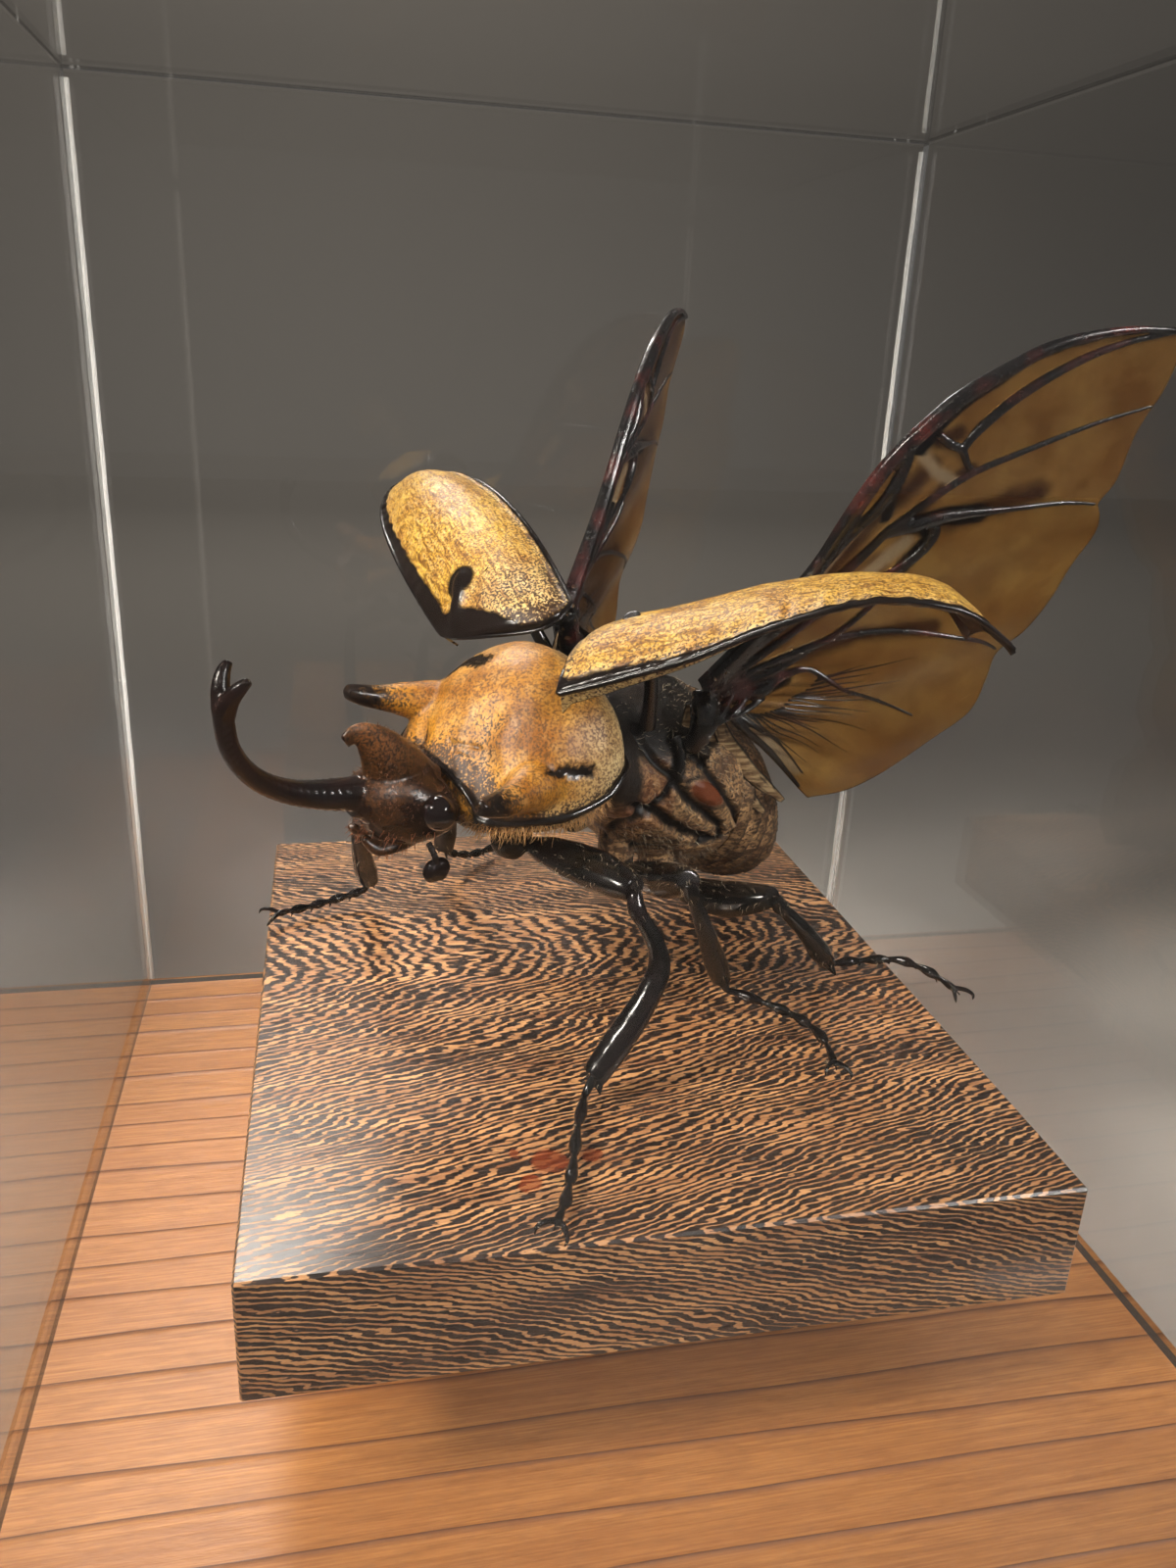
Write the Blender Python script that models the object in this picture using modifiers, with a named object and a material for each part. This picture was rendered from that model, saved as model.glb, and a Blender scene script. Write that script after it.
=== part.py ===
"""Elephant-type rhinoceros beetle set in flight, on a dark striped block in a clear box.

Lengths in the tables are millimetres; MM turns them into Blender's metres.
World frame: +X right, +Y back, +Z up, origin at the bottom centre of the base board.
Beetle frame: x forward along the body, y to the insect's left, z up out of its back.
"""
import math
from functools import partial

import bmesh
import bpy
import numpy as np
from mathutils import Euler, Matrix, Vector

MM = 0.001
GAP = 0.3

# The case
INNER = 150.0            # clear width and depth inside the cover
INNER_HEIGHT = 167.0
SHEET = 3.0              # acrylic thickness
BOARD_RIM = 2.0          # board showing outside the cover
BOARD_THICK = 18.0
BLOCK_SIZE = (99.0, 116.0, 16.0)
BLOCK_CENTRE = (2.0, 4.5)
PLINTH_SIZE = (60.0, 72.0, 19.8)
BLOCK_TOP = BOARD_THICK + 2 * GAP + PLINTH_SIZE[2] + BLOCK_SIZE[2]

# The beetle's pose on the block
BODY_AT = (-8.0, 1.0, 101.0)
BODY_TURN = (-14.0, 0.0, 210.0)

# Driving sizes of the beetle
ELYTRON_WIDTH = 22.0
ELYTRON_DOME = 4.0
BASE_ROUND = 0.16        # share of its length over which the dome rises from the base
SHOULDER_DROOP = 2.5     # how far its outer edge turns down at the shoulder
ELYTRON_THICK = 1.0
WING_LENGTH = 76.0
WING_THICK = 0.5

# Cross-sections: (x, half width, top z, widest z, bottom z)
PRONOTUM_SECTIONS = [
    (-6.6, 12.0, 2.6, -4.8, -9.6), (-5.8, 13.8, 4.4, -5.4, -11.0),
    (-4.0, 15.0, 5.6, -6.4, -12.6), (-1.0, 15.9, 6.4, -8.2, -14.6),
    (5.0, 15.6, 4.2, -9.8, -15.8), (10.0, 13.6, -0.8, -10.2, -15.8),
    (13.6, 11.0, -6.2, -11.0, -15.6), (14.6, 9.0, -8.2, -11.4, -14.6),
]
HEAD_SECTIONS = [
    (15.0, 6.2, -9.4, -12.2, -14.8), (17.0, 7.2, -8.0, -12.0, -17.0),
    (20.5, 6.4, -6.6, -12.0, -18.2), (24.0, 4.8, -6.6, -11.6, -17.0),
    (27.0, 3.4, -7.2, -11.0, -13.6), (28.6, 2.2, -8.6, -11.0, -12.4),
]
THORAX_SECTIONS = [
    (-7.0, 11.4, -0.4, -9.8, -16.0), (-8.4, 12.6, -0.8, -10.8, -18.4),
    (-13.2, 13.4, -2.4, -13.2, -23.3), (-19.0, 15.4, -0.6, -14.5, -28.5),
    (-26.0, 16.4, -1.6, -16.0, -31.5), (-32.7, 16.4, -4.0, -18.5, -34.0),
]
ABDOMEN_SECTIONS = [
    (-33.0, 16.0, -4.4, -19.0, -35.0), (-37.0, 16.0, -6.6, -21.0, -37.5),
    (-37.6, 15.4, -7.4, -21.5, -37.0), (-41.6, 15.2, -10.0, -24.0, -40.0),
    (-42.2, 14.6, -10.8, -24.5, -39.6), (-46.2, 14.0, -14.0, -28.0, -42.0),
    (-46.8, 13.4, -14.8, -28.5, -41.6), (-50.6, 12.0, -19.0, -31.5, -43.0),
    (-51.2, 11.4, -20.0, -32.0, -42.6), (-55.0, 8.8, -25.0, -35.0, -42.4),
    (-57.4, 4.6, -30.0, -37.0, -40.6),
]

# Wing outline in its own plane: x from hinge to tip, y towards the hind margin
WING_LEADING = [(0, -0.6), (21, -4.2), (28, -7), (36, -10.7), (42, -12.5), (51, -13.2),
                (59, -12), (66, -8.4), (73, -3.4), (76, -0.6)]
WING_TRAILING = [(0, 30), (5, 34), (10, 36.8), (22, 35.4), (31, 32.7), (35, 28.4), (41, 27.3),
                 (50, 23), (56, 18.6), (58, 15.2), (61, 13.8), (65, 10.6), (70, 7.4), (74, 2.6),
                 (76, 0.6)]

# Wing cases: outer side, roundness of the base, length, slant of the tip, arch off the plane
# and lift of the outer edge as (share of length, height), then the hinge and two directions
ELYTRA = {
    "left": (-1, 3.0, 56.0, 2.5,
             [(0, 1.4), (0.08, 1.5), (0.15, 1.8), (0.3, 3.1), (0.5, 5.3), (0.7, 6.5), (0.85, 6.1), (0.93, 4.2), (1, 0.5)],
             [(0, 0), (0.15, 0.8), (0.3, 1.0), (0.5, 2.0), (0.7, 2.6), (0.85, 1.2), (1, 0)],
             (-1.7, 3.9, 7.0), (-0.605, 0.737, 0.316), (0.14, -0.29, 0.95)),
    "right": (1, 5.5, 59.5, 4.5,
              [(0, 1.6), (0.08, 1.8), (0.15, 2.3), (0.3, 4.0), (0.5, 5.2), (0.7, 4.7), (0.85, 2.9), (0.93, 1.5), (1, 0)],
              [(0, 0), (1, 0)],
              (-7.0, -15.0, 3.0), (-0.32, -0.945, 0.04), (0.6, 0.0, 0.8)),
}

# Roots that carry each wing down to the thorax, in the beetle frame
ROOT_RADII = [1.3, 1.1, 1.0, 1.1, 1.3]
ELYTRON_ROOTS = {"left": [(-6.0, 8.5, 15.1), (-11.6, 9.2, 6.6), (-14.4, 8.8, -3.0)],
                 "right": [(-6.1, -23.4, 8.3), (-12.4, -18.6, 2), (-15.4, -12.3, -5.2)]}
WING_ROOTS = {"left": [(-21.2, 11.4, 3.2), (-20.4, 13.8, -1), (-19.2, 13.5, -5.1)],
              "right": [(-16.2, -14.4, 4), (-18, -14.8, -0.5), (-19, -12.7, -4.4)]}

# Hips: the piece that each pair of legs hangs from, and a point inside it
HIPS = {"front": ("pronotum", (4.6, 6.0, -12.5)), "mid": ("thorax", (-15.5, 6.5, -20.0)),
        "hind": ("thorax", (-24.5, 7.5, -24.0))}
HIP_RADIUS = 3.0
TIBIA_RADII = [1.0, 1.3, 1.5, 1.7, 2.1, 1.8]

# Legs: joints down to the claw, in the beetle frame
LEGS = {
    "front_left": {"femur": [(4.5, 9.5, -17.8), (2.6, 19, -15.8), (2.5, 28, -13.5)],
                   "tibia": [(3.0, 29.6, -15.4), (1.4, 34.6, -22.8), (11, 36.6, -35)],
                   "tarsus": [(12.8, 37.4, -36.8), (18.2, 42, -35.9), (23.4, 46.9, -34.7),
                              (27.8, 50.6, -33.6), (30.8, 52.6, -32.9)], "teeth": 3},
    "mid_left": {"femur": [(-16, 11, -27.4), (-14.5, 19, -23.4), (-11, 26, -17.6)],
                 "tibia": [(-11.6, 26.8, -19.6), (-14.6, 28.8, -25.8), (-20.5, 30, -36)],
                 "tarsus": [(-20.9, 31.4, -37.4), (-23, 38, -36), (-24.2, 42.5, -35.4),
                            (-23.2, 47.4, -34.5), (-19.4, 52.4, -33.4)], "teeth": 2},
    "hind_left": {"femur": [(-25, 13, -31.5), (-26, 22, -28.5), (-27.1, 30, -23)],
                  "tibia": [(-28.2, 31.0, -24.4), (-33.2, 33.4, -29), (-40, 35, -36.2)],
                  "tarsus": [(-41.4, 35.6, -37), (-46.4, 38.2, -36.2), (-50.2, 42, -34.8),
                             (-50.8, 47.2, -33.6), (-49.8, 51.8, -32.8)], "teeth": 2},
    "front_right": {"femur": [(5, -9, -21), (8, -16, -22), (11, -22, -25.5)],
                    "tibia": [(11, -22.6, -27.6), (8.6, -24.6, -39), (4, -27.6, -49.6)],
                    "tarsus": [(4.4, -27.8, -51.8), (12, -29, -53), (19.5, -29.8, -53.2)], "teeth": 3},
    "mid_right": {"femur": [(-13, -10, -26.5), (-12, -18, -25.6), (-11, -25, -26)],
                  "tibia": [(-10.4, -25.8, -27.6), (-11, -27.6, -38), (-12, -28.5, -48)],
                  "tarsus": [(-13.6, -28.8, -49.8), (-21, -30.2, -53), (-30, -31.4, -53.6)],
                  "teeth": 2},
    "hind_right": {"femur": [(-25, -12, -32), (-29, -17, -32), (-33, -21, -31)],
                   "tibia": [(-34.4, -21, -32.6), (-40, -19, -39), (-45, -17, -45.5)],
                   "tarsus": [(-46.6, -17, -47.2), (-53, -18, -49.6), (-59, -19, -50.2)], "teeth": 2},
}


def clear_scene():
    for old in list(bpy.data.objects):
        bpy.data.objects.remove(old, do_unlink=True)


def new_collection(name):
    made = bpy.data.collections.new(name)
    bpy.context.scene.collection.children.link(made)
    return made


def finish(name, colour, roughness, metallic=0.0, transmission=0.0, ior=1.5):
    made = bpy.data.materials.new(name)
    made.use_nodes = True
    shader = made.node_tree.nodes["Principled BSDF"]
    shader.inputs["Base Color"].default_value = (*colour, 1.0)
    shader.inputs["Roughness"].default_value = roughness
    shader.inputs["Metallic"].default_value = metallic
    shader.inputs["Transmission Weight"].default_value = transmission
    shader.inputs["IOR"].default_value = ior
    return made


clear_scene()
PARTS = new_collection("beetle_in_clear_box")
CUTTERS = new_collection("cutters")
BODY = bpy.data.objects.new("beetle_pose", None)
PARTS.objects.link(BODY)
BODY.location = Vector(BODY_AT) * MM
BODY.rotation_euler = Euler([math.radians(angle) for angle in BODY_TURN])

ACRYLIC = finish("clear_acrylic", (1.0, 1.0, 1.0), 0.02, transmission=1.0, ior=1.49)
BOARD_WOOD = finish("warm_brushed_softwood", (0.60, 0.27, 0.09), 0.45)
BLOCK_WOOD = finish("dark_striped_hardwood", (0.06, 0.03, 0.02), 0.35)
GOLD_DOWN = finish("golden_down", (0.55, 0.33, 0.10), 0.6)
BLACK_SHELL = finish("black_shell", (0.012, 0.010, 0.009), 0.15)
BROWN_SHELL = finish("brown_head_shell", (0.07, 0.03, 0.02), 0.3)
TAN_PLATES = finish("tan_downy_plates", (0.20, 0.13, 0.07), 0.55)
WING_FILM = finish("amber_wing_film", (0.35, 0.20, 0.06), 0.25, transmission=0.6)


def add_mesh(name, shape, material, parent=None, collection=None):
    """Turns a bmesh into an object, on the beetle's pose empty when it is its parent."""
    mesh = bpy.data.meshes.new(name)
    bmesh.ops.recalc_face_normals(shape, faces=shape.faces)
    shape.to_mesh(mesh)
    shape.free()
    made = bpy.data.objects.new(name, mesh)
    (collection or PARTS).objects.link(made)
    made.parent = parent
    made.data.materials.append(material)
    return made


def box(name, size, centre, material, rounding=0.0):
    shape = bmesh.new()
    bmesh.ops.create_cube(shape, size=1.0)
    bmesh.ops.scale(shape, vec=Vector(size) * MM, verts=shape.verts)
    made = add_mesh(name, shape, material)
    made.location = Vector(centre) * MM
    if rounding:
        edge = made.modifiers.new("rounded_edges", "BEVEL")
        edge.width = rounding * MM
        edge.segments = 1
    return made


def bridge(shape, loops):
    """Joins the loops of edges in their order and closes both ends."""
    for first, second in zip(loops, loops[1:]):
        bmesh.ops.bridge_loops(shape, edges=first + second)
    bmesh.ops.holes_fill(shape, edges=[edge for edge in shape.edges if edge.is_boundary], sides=0)


def circle(shape, sides):
    """A new unit circle in the XY plane: its vertices and its edges."""
    verts = bmesh.ops.create_circle(shape, segments=sides, radius=1.0)["verts"]
    edges = list({edge for vert in verts for edge in vert.link_edges})
    return verts, edges


def body_loft(name, sections, material, sides=18):
    """A body segment through upright oval sections, broader on the back than below."""
    shape = bmesh.new()
    loops = []
    for x, half_width, top, widest, bottom in sections:
        verts, edges = circle(shape, sides)
        for vert in verts:
            across, upright = vert.co.x, vert.co.y
            height = (top - widest) if upright > 0 else (widest - bottom)
            vert.co = Vector((x, half_width * across, widest + height * upright)) * MM
        loops.append(edges)
    bridge(shape, loops)
    return add_mesh(name, shape, material, BODY)


def smooth_path(points, count):
    """Evenly numbered points on a curve through three or more given ones."""
    given = np.array(points, float)
    if len(given) < 3:
        given = np.array([given[0], given.mean(axis=0), given[-1]])
    along = np.linspace(0.0, 1.0, len(given))
    degree = min(3, len(given) - 1)
    wanted = np.linspace(0.0, 1.0, count)
    curve = [np.polyval(np.polyfit(along, given[:, axis], degree), wanted) for axis in range(3)]
    return [Vector(point) for point in zip(*curve)]


def limb(name, path, radii, material, sides=8, section=(1.0, 1.0), collection=None):
    """A tapered tube along a path; section widens it sideways and upright."""
    shape = bmesh.new()
    loops = []
    for index, (point, radius) in enumerate(zip(path, radii)):
        before = path[max(index - 1, 0)]
        after = path[min(index + 1, len(path) - 1)]
        turn = (after - before).to_track_quat("Z", "Y")
        verts, edges = circle(shape, sides)
        for vert in verts:
            offset = Vector((vert.co.x * section[0], vert.co.y * section[1], 0)) * radius
            vert.co = (point + turn @ offset) * MM
        loops.append(edges)
    bridge(shape, loops)
    return add_mesh(name, shape, material, BODY, collection)


def grow_on(host, addition):
    """Fuses a hidden helper shape into the piece that it grows from."""
    addition.hide_render = True
    addition.display_type = "WIRE"
    fuse = host.modifiers.new("fused_" + addition.name, "BOOLEAN")
    fuse.operation = "UNION"
    fuse.object = addition


def spike(name, points, radius, material, sides=6, end=0.15, taper=1.2):
    """A curved thorn for fusing: a limb that thins to a near point."""
    path = smooth_path(points, 5)
    radii = [radius + (end - radius) * step ** taper for step in np.linspace(0, 1, 5)]
    return limb(name, path, radii, material, sides, collection=CUTTERS)


def make_case():
    board = INNER + 2 * SHEET + 2 * BOARD_RIM
    box("base_board", (board, board, BOARD_THICK), (0, 0, BOARD_THICK / 2), BOARD_WOOD, rounding=0.8)
    foot = BOARD_THICK + GAP
    wall_mid = foot + INNER_HEIGHT / 2
    outer = INNER + 2 * SHEET
    offset = (INNER + SHEET) / 2
    for name, sign in (("cover_front", -1), ("cover_back", 1)):
        box(name, (outer, SHEET, INNER_HEIGHT), (0, sign * offset, wall_mid), ACRYLIC)
    for name, sign in (("cover_left", -1), ("cover_right", 1)):
        box(name, (SHEET, INNER - 2 * GAP, INNER_HEIGHT), (sign * offset, 0, wall_mid), ACRYLIC)
    top = foot + INNER_HEIGHT + GAP + SHEET / 2
    box("cover_top", (outer, outer, SHEET), (0, 0, top), ACRYLIC)
    plinth_mid = BOARD_THICK + GAP + PLINTH_SIZE[2] / 2
    box("plinth", PLINTH_SIZE, (*BLOCK_CENTRE, plinth_mid), BOARD_WOOD)
    block_mid = BLOCK_TOP - BLOCK_SIZE[2] / 2
    box("block", BLOCK_SIZE, (*BLOCK_CENTRE, block_mid), BLOCK_WOOD, rounding=0.3)


def make_pronotum():
    pronotum = body_loft("pronotum", PRONOTUM_SECTIONS, GOLD_DOWN, sides=22)
    for side, sign in (("left", 1), ("right", -1)):
        course = [(6, sign * 10.8, -6.4), (13, sign * 13.6, -4.8), (20.4, sign * 15.6, -4.7)]
        horn = spike("pronotal_horn_" + side, course, 4.6, GOLD_DOWN, sides=8, end=0.7, taper=0.7)
        grow_on(pronotum, horn)


def make_head():
    head = body_loft("head", HEAD_SECTIONS, BROWN_SHELL, sides=14)
    curve = smooth_path([(24, 0, -10.2), (33, 0, -8.4), (41.5, 0, -4.2), (46, 0, 1.4), (46.6, 0, 7)], 11)
    radii = [2.9, 2.2, 1.8, 1.6, 1.5, 1.4, 1.35, 1.3, 1.25, 1.3, 1.35]
    grow_on(head, limb("head_horn", curve, radii, BROWN_SHELL, 8, collection=CUTTERS))
    for side, sign in (("left", 1), ("right", -1)):
        course = [(46.4, 0, 6.0), (46.0, sign * 1.4, 8.6), (44.8, sign * 2.4, 10.6)]
        prong = spike("prong_" + side, course, 1.15, BROWN_SHELL, end=0.35)
        grow_on(head, prong)
        eye = bmesh.new()
        bmesh.ops.create_icosphere(eye, subdivisions=2, radius=2.3 * MM)
        bmesh.ops.translate(eye, vec=Vector((19.2, sign * 7.0, -10.4)) * MM, verts=eye.verts)
        grow_on(head, add_mesh("eye_" + side, eye, BLACK_SHELL, BODY, CUTTERS))
    hook = [(19.0, 0, -11.4), (22.6, 0, -6.6), (24.9, 0, -3.4), (27.0, 0, -1.2), (28.7, 0, -0.5),
            (30.2, 0, -1.2)]
    hook = [Vector(point) for point in hook]
    grow_on(head, limb("basal_tooth", hook, [5.2, 4.2, 3.0, 1.9, 1.3, 0.7], BROWN_SHELL, 8,
                       section=(0.6, 1.0), collection=CUTTERS))


def make_antennae():
    for side, sign in (("left", 1), ("right", -1)):
        path = smooth_path([(20.6, sign * 7.4, -14.6), (20.2, sign * 8.8, -16.6), (19.4, sign * 8.6, -19.6)], 6)
        limb("antenna_" + side, path, [0.5, 0.45, 0.5, 1.2, 1.5, 0.8], BROWN_SHELL, 6)


def make_trunk():
    body_loft("thorax", THORAX_SECTIONS, TAN_PLATES, sides=18)
    body_loft("abdomen", ABDOMEN_SECTIONS, TAN_PLATES, sides=18)


def surface(name, place, across, along, thickness, material):
    """A square grid bent by place(s, t) into a sheet, then given its thickness."""
    shape = bmesh.new()
    bmesh.ops.create_grid(shape, x_segments=along, y_segments=across, size=0.5)
    for vert in shape.verts:
        vert.co = Vector(place(vert.co.x + 0.5, vert.co.y + 0.5)) * MM
    made = add_mesh(name, shape, material, BODY)
    wall = made.modifiers.new("wall", "SOLIDIFY")
    wall.thickness = thickness * MM
    wall.offset = 0.0
    return made


def stand(piece, hinge, along, facing):
    """Puts a flat-made piece at its hinge, x along one direction and z towards the other."""
    x_axis = Vector(along).normalized()
    y_axis = Vector(facing).cross(x_axis).normalized()
    z_axis = x_axis.cross(y_axis)
    piece.location = Vector(hinge) * MM
    piece.rotation_euler = Matrix((x_axis, y_axis, z_axis)).transposed().to_euler()


def elytron_point(s, t, outer, bulge, length, slant, arch, lift):
    """Wing case: s from base to tip, t from inner to outer edge, bulge rounds its base."""
    side = 2 * t - 1
    if side > 0:
        breadth = (1 - 0.07 * (1 - s) ** 4) * (1 - 0.55 * s ** 4)
    else:
        breadth = (1 - 0.22 * (1 - s) ** 4) * max(1 - s ** 2, 0.03) ** 0.5
    x = length * s - bulge * (1 - side ** 2) * (1 - 0.4 * side) * (1 - s) ** 3
    x -= slant * (1 - side) * s ** 6
    y = outer * (0.5 * ELYTRON_WIDTH * breadth * side)
    rise = math.sqrt(1 - (1 - min(s / BASE_ROUND, 1)) ** 2)
    dome = ELYTRON_DOME * (1 - side ** 2) * (1 - 0.7 * s ** 4) * rise
    edge = np.interp(s, *zip(*lift)) * max(side, 0) ** 2
    droop = SHOULDER_DROOP * max(side, 0) ** 3 * (1 - s) ** 2
    return x, y, np.interp(s, *zip(*arch)) + dome + edge - droop


def make_elytra():
    for side, (outer, bulge, length, slant, arch, lift, hinge, along, facing) in ELYTRA.items():
        place = partial(elytron_point, outer=outer, bulge=bulge, length=length, slant=slant, arch=arch, lift=lift)
        piece = surface("elytron_" + side, place, 8, 14, ELYTRON_THICK, GOLD_DOWN)
        stand(piece, hinge, along, facing)
        root = smooth_path(ELYTRON_ROOTS[side], 5)
        grow_on(piece, limb("elytron_root_" + side, root, ROOT_RADII, BLACK_SHELL, 6, collection=CUTTERS))


def wing_point(s, t):
    """Hind wing: s from hinge to tip, t from the front margin to the hind margin."""
    x = WING_LENGTH * s
    front = np.interp(x, *zip(*WING_LEADING))
    hind = np.interp(x, *zip(*WING_TRAILING))
    pleat = 0.5 * math.sin(t * 5 * math.pi) * (1 - s)
    return x, front + (hind - front) * t, pleat


def make_wings():
    placed = {"left": ((-21.7, 10.8, 3.0), (-0.521, 0.363, 0.772), (-0.455, -0.884, 0.109)),
              "right": ((-16.0, -14.4, 4.0), (-0.708, -0.523, 0.475), (0.57, -0.82, -0.055))}
    for side, (hinge, along, facing) in placed.items():
        wing = surface("hind_wing_" + side, wing_point, 7, 19, WING_THICK, WING_FILM)
        stand(wing, hinge, along, facing)
        edge = [Vector((x, y, 0)) for x, y in [(-3, 1.5), (0, 0)] + WING_LEADING[1:]]
        thick = [1.2, 1.3, 1.1, 1.0, 1.0, 1.0, 0.9, 0.75, 0.6, 0.45, 0.35]
        spar = limb("wing_spar_" + side, edge, thick, BLACK_SHELL, 6, collection=CUTTERS)
        stand(spar, hinge, along, facing)
        grow_on(wing, spar)
        root = smooth_path(WING_ROOTS[side], 5)
        grow_on(wing, limb("wing_root_" + side, root, ROOT_RADII, BLACK_SHELL, 6, collection=CUTTERS))


def make_leg(name, joints):
    femur = smooth_path(joints["femur"], 6)
    host_name, inside = HIPS[name.split("_")[0]]
    side = 1 if femur[0].y > 0 else -1
    inner = Vector((inside[0], side * inside[1], inside[2]))
    socket = femur[0] - (femur[1] - femur[0]).normalized() * (HIP_RADIUS + GAP)
    down = (socket - inner).normalized() * HIP_RADIUS
    hip_path = [inner, socket, socket + down * 0.55, socket + down * 0.85]
    hip_radii = [0.8 * HIP_RADIUS, HIP_RADIUS, 0.75 * HIP_RADIUS, 0.35 * HIP_RADIUS]
    hip = limb("hip_" + name, hip_path, hip_radii, BLACK_SHELL, 8, collection=CUTTERS)
    grow_on(bpy.data.objects[host_name], hip)
    limb("femur_" + name, femur, [1.2, 2.2, 2.8, 2.9, 2.4, 1.5], BLACK_SHELL, 8, section=(1.0, 0.8))
    tibia_path = smooth_path(joints["tibia"], 6)
    tibia = limb("tibia_" + name, tibia_path, TIBIA_RADII, BLACK_SHELL, 8, section=(1.0, 0.8))
    outward = Vector((0.25, 1.0 if joints["tibia"][0][1] > 0 else -1.0, 0.0)).normalized()
    for number in range(joints["teeth"]):
        root = tibia_path[5 - number] * 0.999
        course = [root, root + outward * 1.6, root + outward * 3.0 + Vector((0, 0, -1.2))]
        tooth = spike(f"tooth_{name}_{number}", course, 1.0, BLACK_SHELL, sides=5)
        grow_on(tibia, tooth)
    tarsus_path = smooth_path(joints["tarsus"], 11)
    tarsus = limb("tarsus_" + name, tarsus_path, [0.75, 0.5] * 5 + [0.7], BLACK_SHELL, 6)
    tip = tarsus_path[-1]
    ahead = (tip - tarsus_path[-2]).normalized()
    sideways = ahead.cross(Vector((0, 0, 1))).normalized()
    for hook, sign in (("a", 1), ("b", -1)):
        end = tip + ahead * 2.6 + sideways * sign * 1.8 + Vector((0, 0, -0.5))
        course = [tip - ahead * 0.4, tip + ahead * 1.2 + sideways * sign * 1.6, end]
        claw = spike(f"claw_{name}_{hook}", course, 0.45, BLACK_SHELL, sides=5)
        grow_on(tarsus, claw)


make_case()
make_pronotum()
make_head()
make_antennae()
make_trunk()
make_elytra()
make_wings()
for leg_name, leg_joints in LEGS.items():
    make_leg(leg_name, leg_joints)
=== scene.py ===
"""A horned beetle set in flight over a striped block, in a clear box on a wooden board.

Lengths are millimetres, turned to metres by MM. The world is the part's own frame: +X right,
+Y to the back of the case, +Z up. The beetle's pieces are first shaped in the beetle's frame,
x forward along its body, y to its left and z up out of its back, and then set in their pose.
"""
import math

import bmesh
import bpy
import numpy as np
from mathutils import Euler, Matrix, Vector, noise


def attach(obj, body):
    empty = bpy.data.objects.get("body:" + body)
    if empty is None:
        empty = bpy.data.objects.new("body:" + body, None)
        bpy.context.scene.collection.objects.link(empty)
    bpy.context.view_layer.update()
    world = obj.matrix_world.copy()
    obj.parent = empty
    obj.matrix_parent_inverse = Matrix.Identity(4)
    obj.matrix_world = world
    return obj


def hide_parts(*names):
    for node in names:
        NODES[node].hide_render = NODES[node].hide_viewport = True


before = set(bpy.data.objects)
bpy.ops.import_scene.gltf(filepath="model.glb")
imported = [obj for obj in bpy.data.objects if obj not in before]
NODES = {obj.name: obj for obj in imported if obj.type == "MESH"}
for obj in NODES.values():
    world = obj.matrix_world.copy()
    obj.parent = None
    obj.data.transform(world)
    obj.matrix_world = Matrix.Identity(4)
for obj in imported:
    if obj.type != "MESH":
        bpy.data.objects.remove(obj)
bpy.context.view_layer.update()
MM = 0.001

# ---------------------------------------------------------------- camera and studio
# The camera stands close in front of the cover, as in the photograph, and looks down on the
# insect through the front sheet. Floor and backdrop are one pale sheet; the light is soft.
lens = bpy.data.cameras.new("camera")
lens.lens = 26.876
lens.sensor_width = 36.0
lens.clip_start = 0.001
camera = bpy.data.objects.new("camera", lens)
camera.location = Vector((-34.68, -154.80, 145.43)) * MM
camera.rotation_euler = Euler([math.radians(turn) for turn in (69.957, -2.435, -11.724)])
bpy.context.scene.collection.objects.link(camera)
bpy.context.scene.camera = camera


def new_object(name, shape):
    """An object at the origin from a finished bmesh, linked to the scene."""
    mesh = bpy.data.meshes.new(name)
    shape.to_mesh(mesh)
    shape.free()
    made = bpy.data.objects.new(name, mesh)
    bpy.context.scene.collection.objects.link(made)
    return made


def give(made, socket, value):
    """Links a pattern to a shader socket, or sets a plain value there; colours are opaque."""
    if isinstance(value, bpy.types.NodeSocket):
        made.node_tree.links.new(value, socket)
    else:
        socket.default_value = (*value, 1.0) if socket.type == "RGBA" else value


def knot(made, kind, inputs=None, out=0, **settings):
    """One shader node of a material: its inputs take values or other nodes' sockets."""
    point = made.node_tree.nodes.new("ShaderNode" + kind)
    for key, value in settings.items():
        setattr(point, key, value)
    for key, value in (inputs or {}).items():
        give(made, point.inputs[key], value)
    return point.outputs[out]


def set_sockets(made, **sockets):
    """Sets or links sockets of a material's Principled shader."""
    shader = made.node_tree.nodes["Principled BSDF"]
    for key, value in sockets.items():
        give(made, shader.inputs[key.replace("_", " ")], value)


def new_finish(name, **sockets):
    """A material with its Principled sockets set."""
    made = bpy.data.materials.new(name)
    made.use_nodes = True
    set_sockets(made, **sockets)
    return made


def own_place(made):
    """The piece's own coordinates, in metres."""
    return knot(made, "TexCoord", out=3)


def mixed(made, share, first, second):
    """Colour between two, by share from 0 to 1."""
    return knot(made, "Mix", {0: share, 6: first, 7: second}, out=2, data_type="RGBA")


def spread(made, value, low, high, bottom=0.0, top=1.0):
    """A value's range low to high stretched to bottom to top, and held there."""
    inputs = {"Value": value, "From Min": low, "From Max": high, "To Min": bottom, "To Max": top}
    return knot(made, "MapRange", inputs)


def cloud(made, place, scale, detail=3.0, roughness=0.5):
    """Noise over a place, scale in cycles a metre."""
    inputs = {"Vector": place, "Scale": scale, "Detail": detail, "Roughness": roughness}
    return knot(made, "TexNoise", inputs)


def grain_relief(made, height, strength, distance):
    """Bump from a height pattern, distance in metres."""
    return knot(made, "Bump", {"Strength": strength, "Distance": distance, "Height": height})


def math_of(made, operation, first, second=0.0):
    """One sum on patterns or values."""
    return knot(made, "Math", {0: first, 1: second}, operation=operation)


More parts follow.
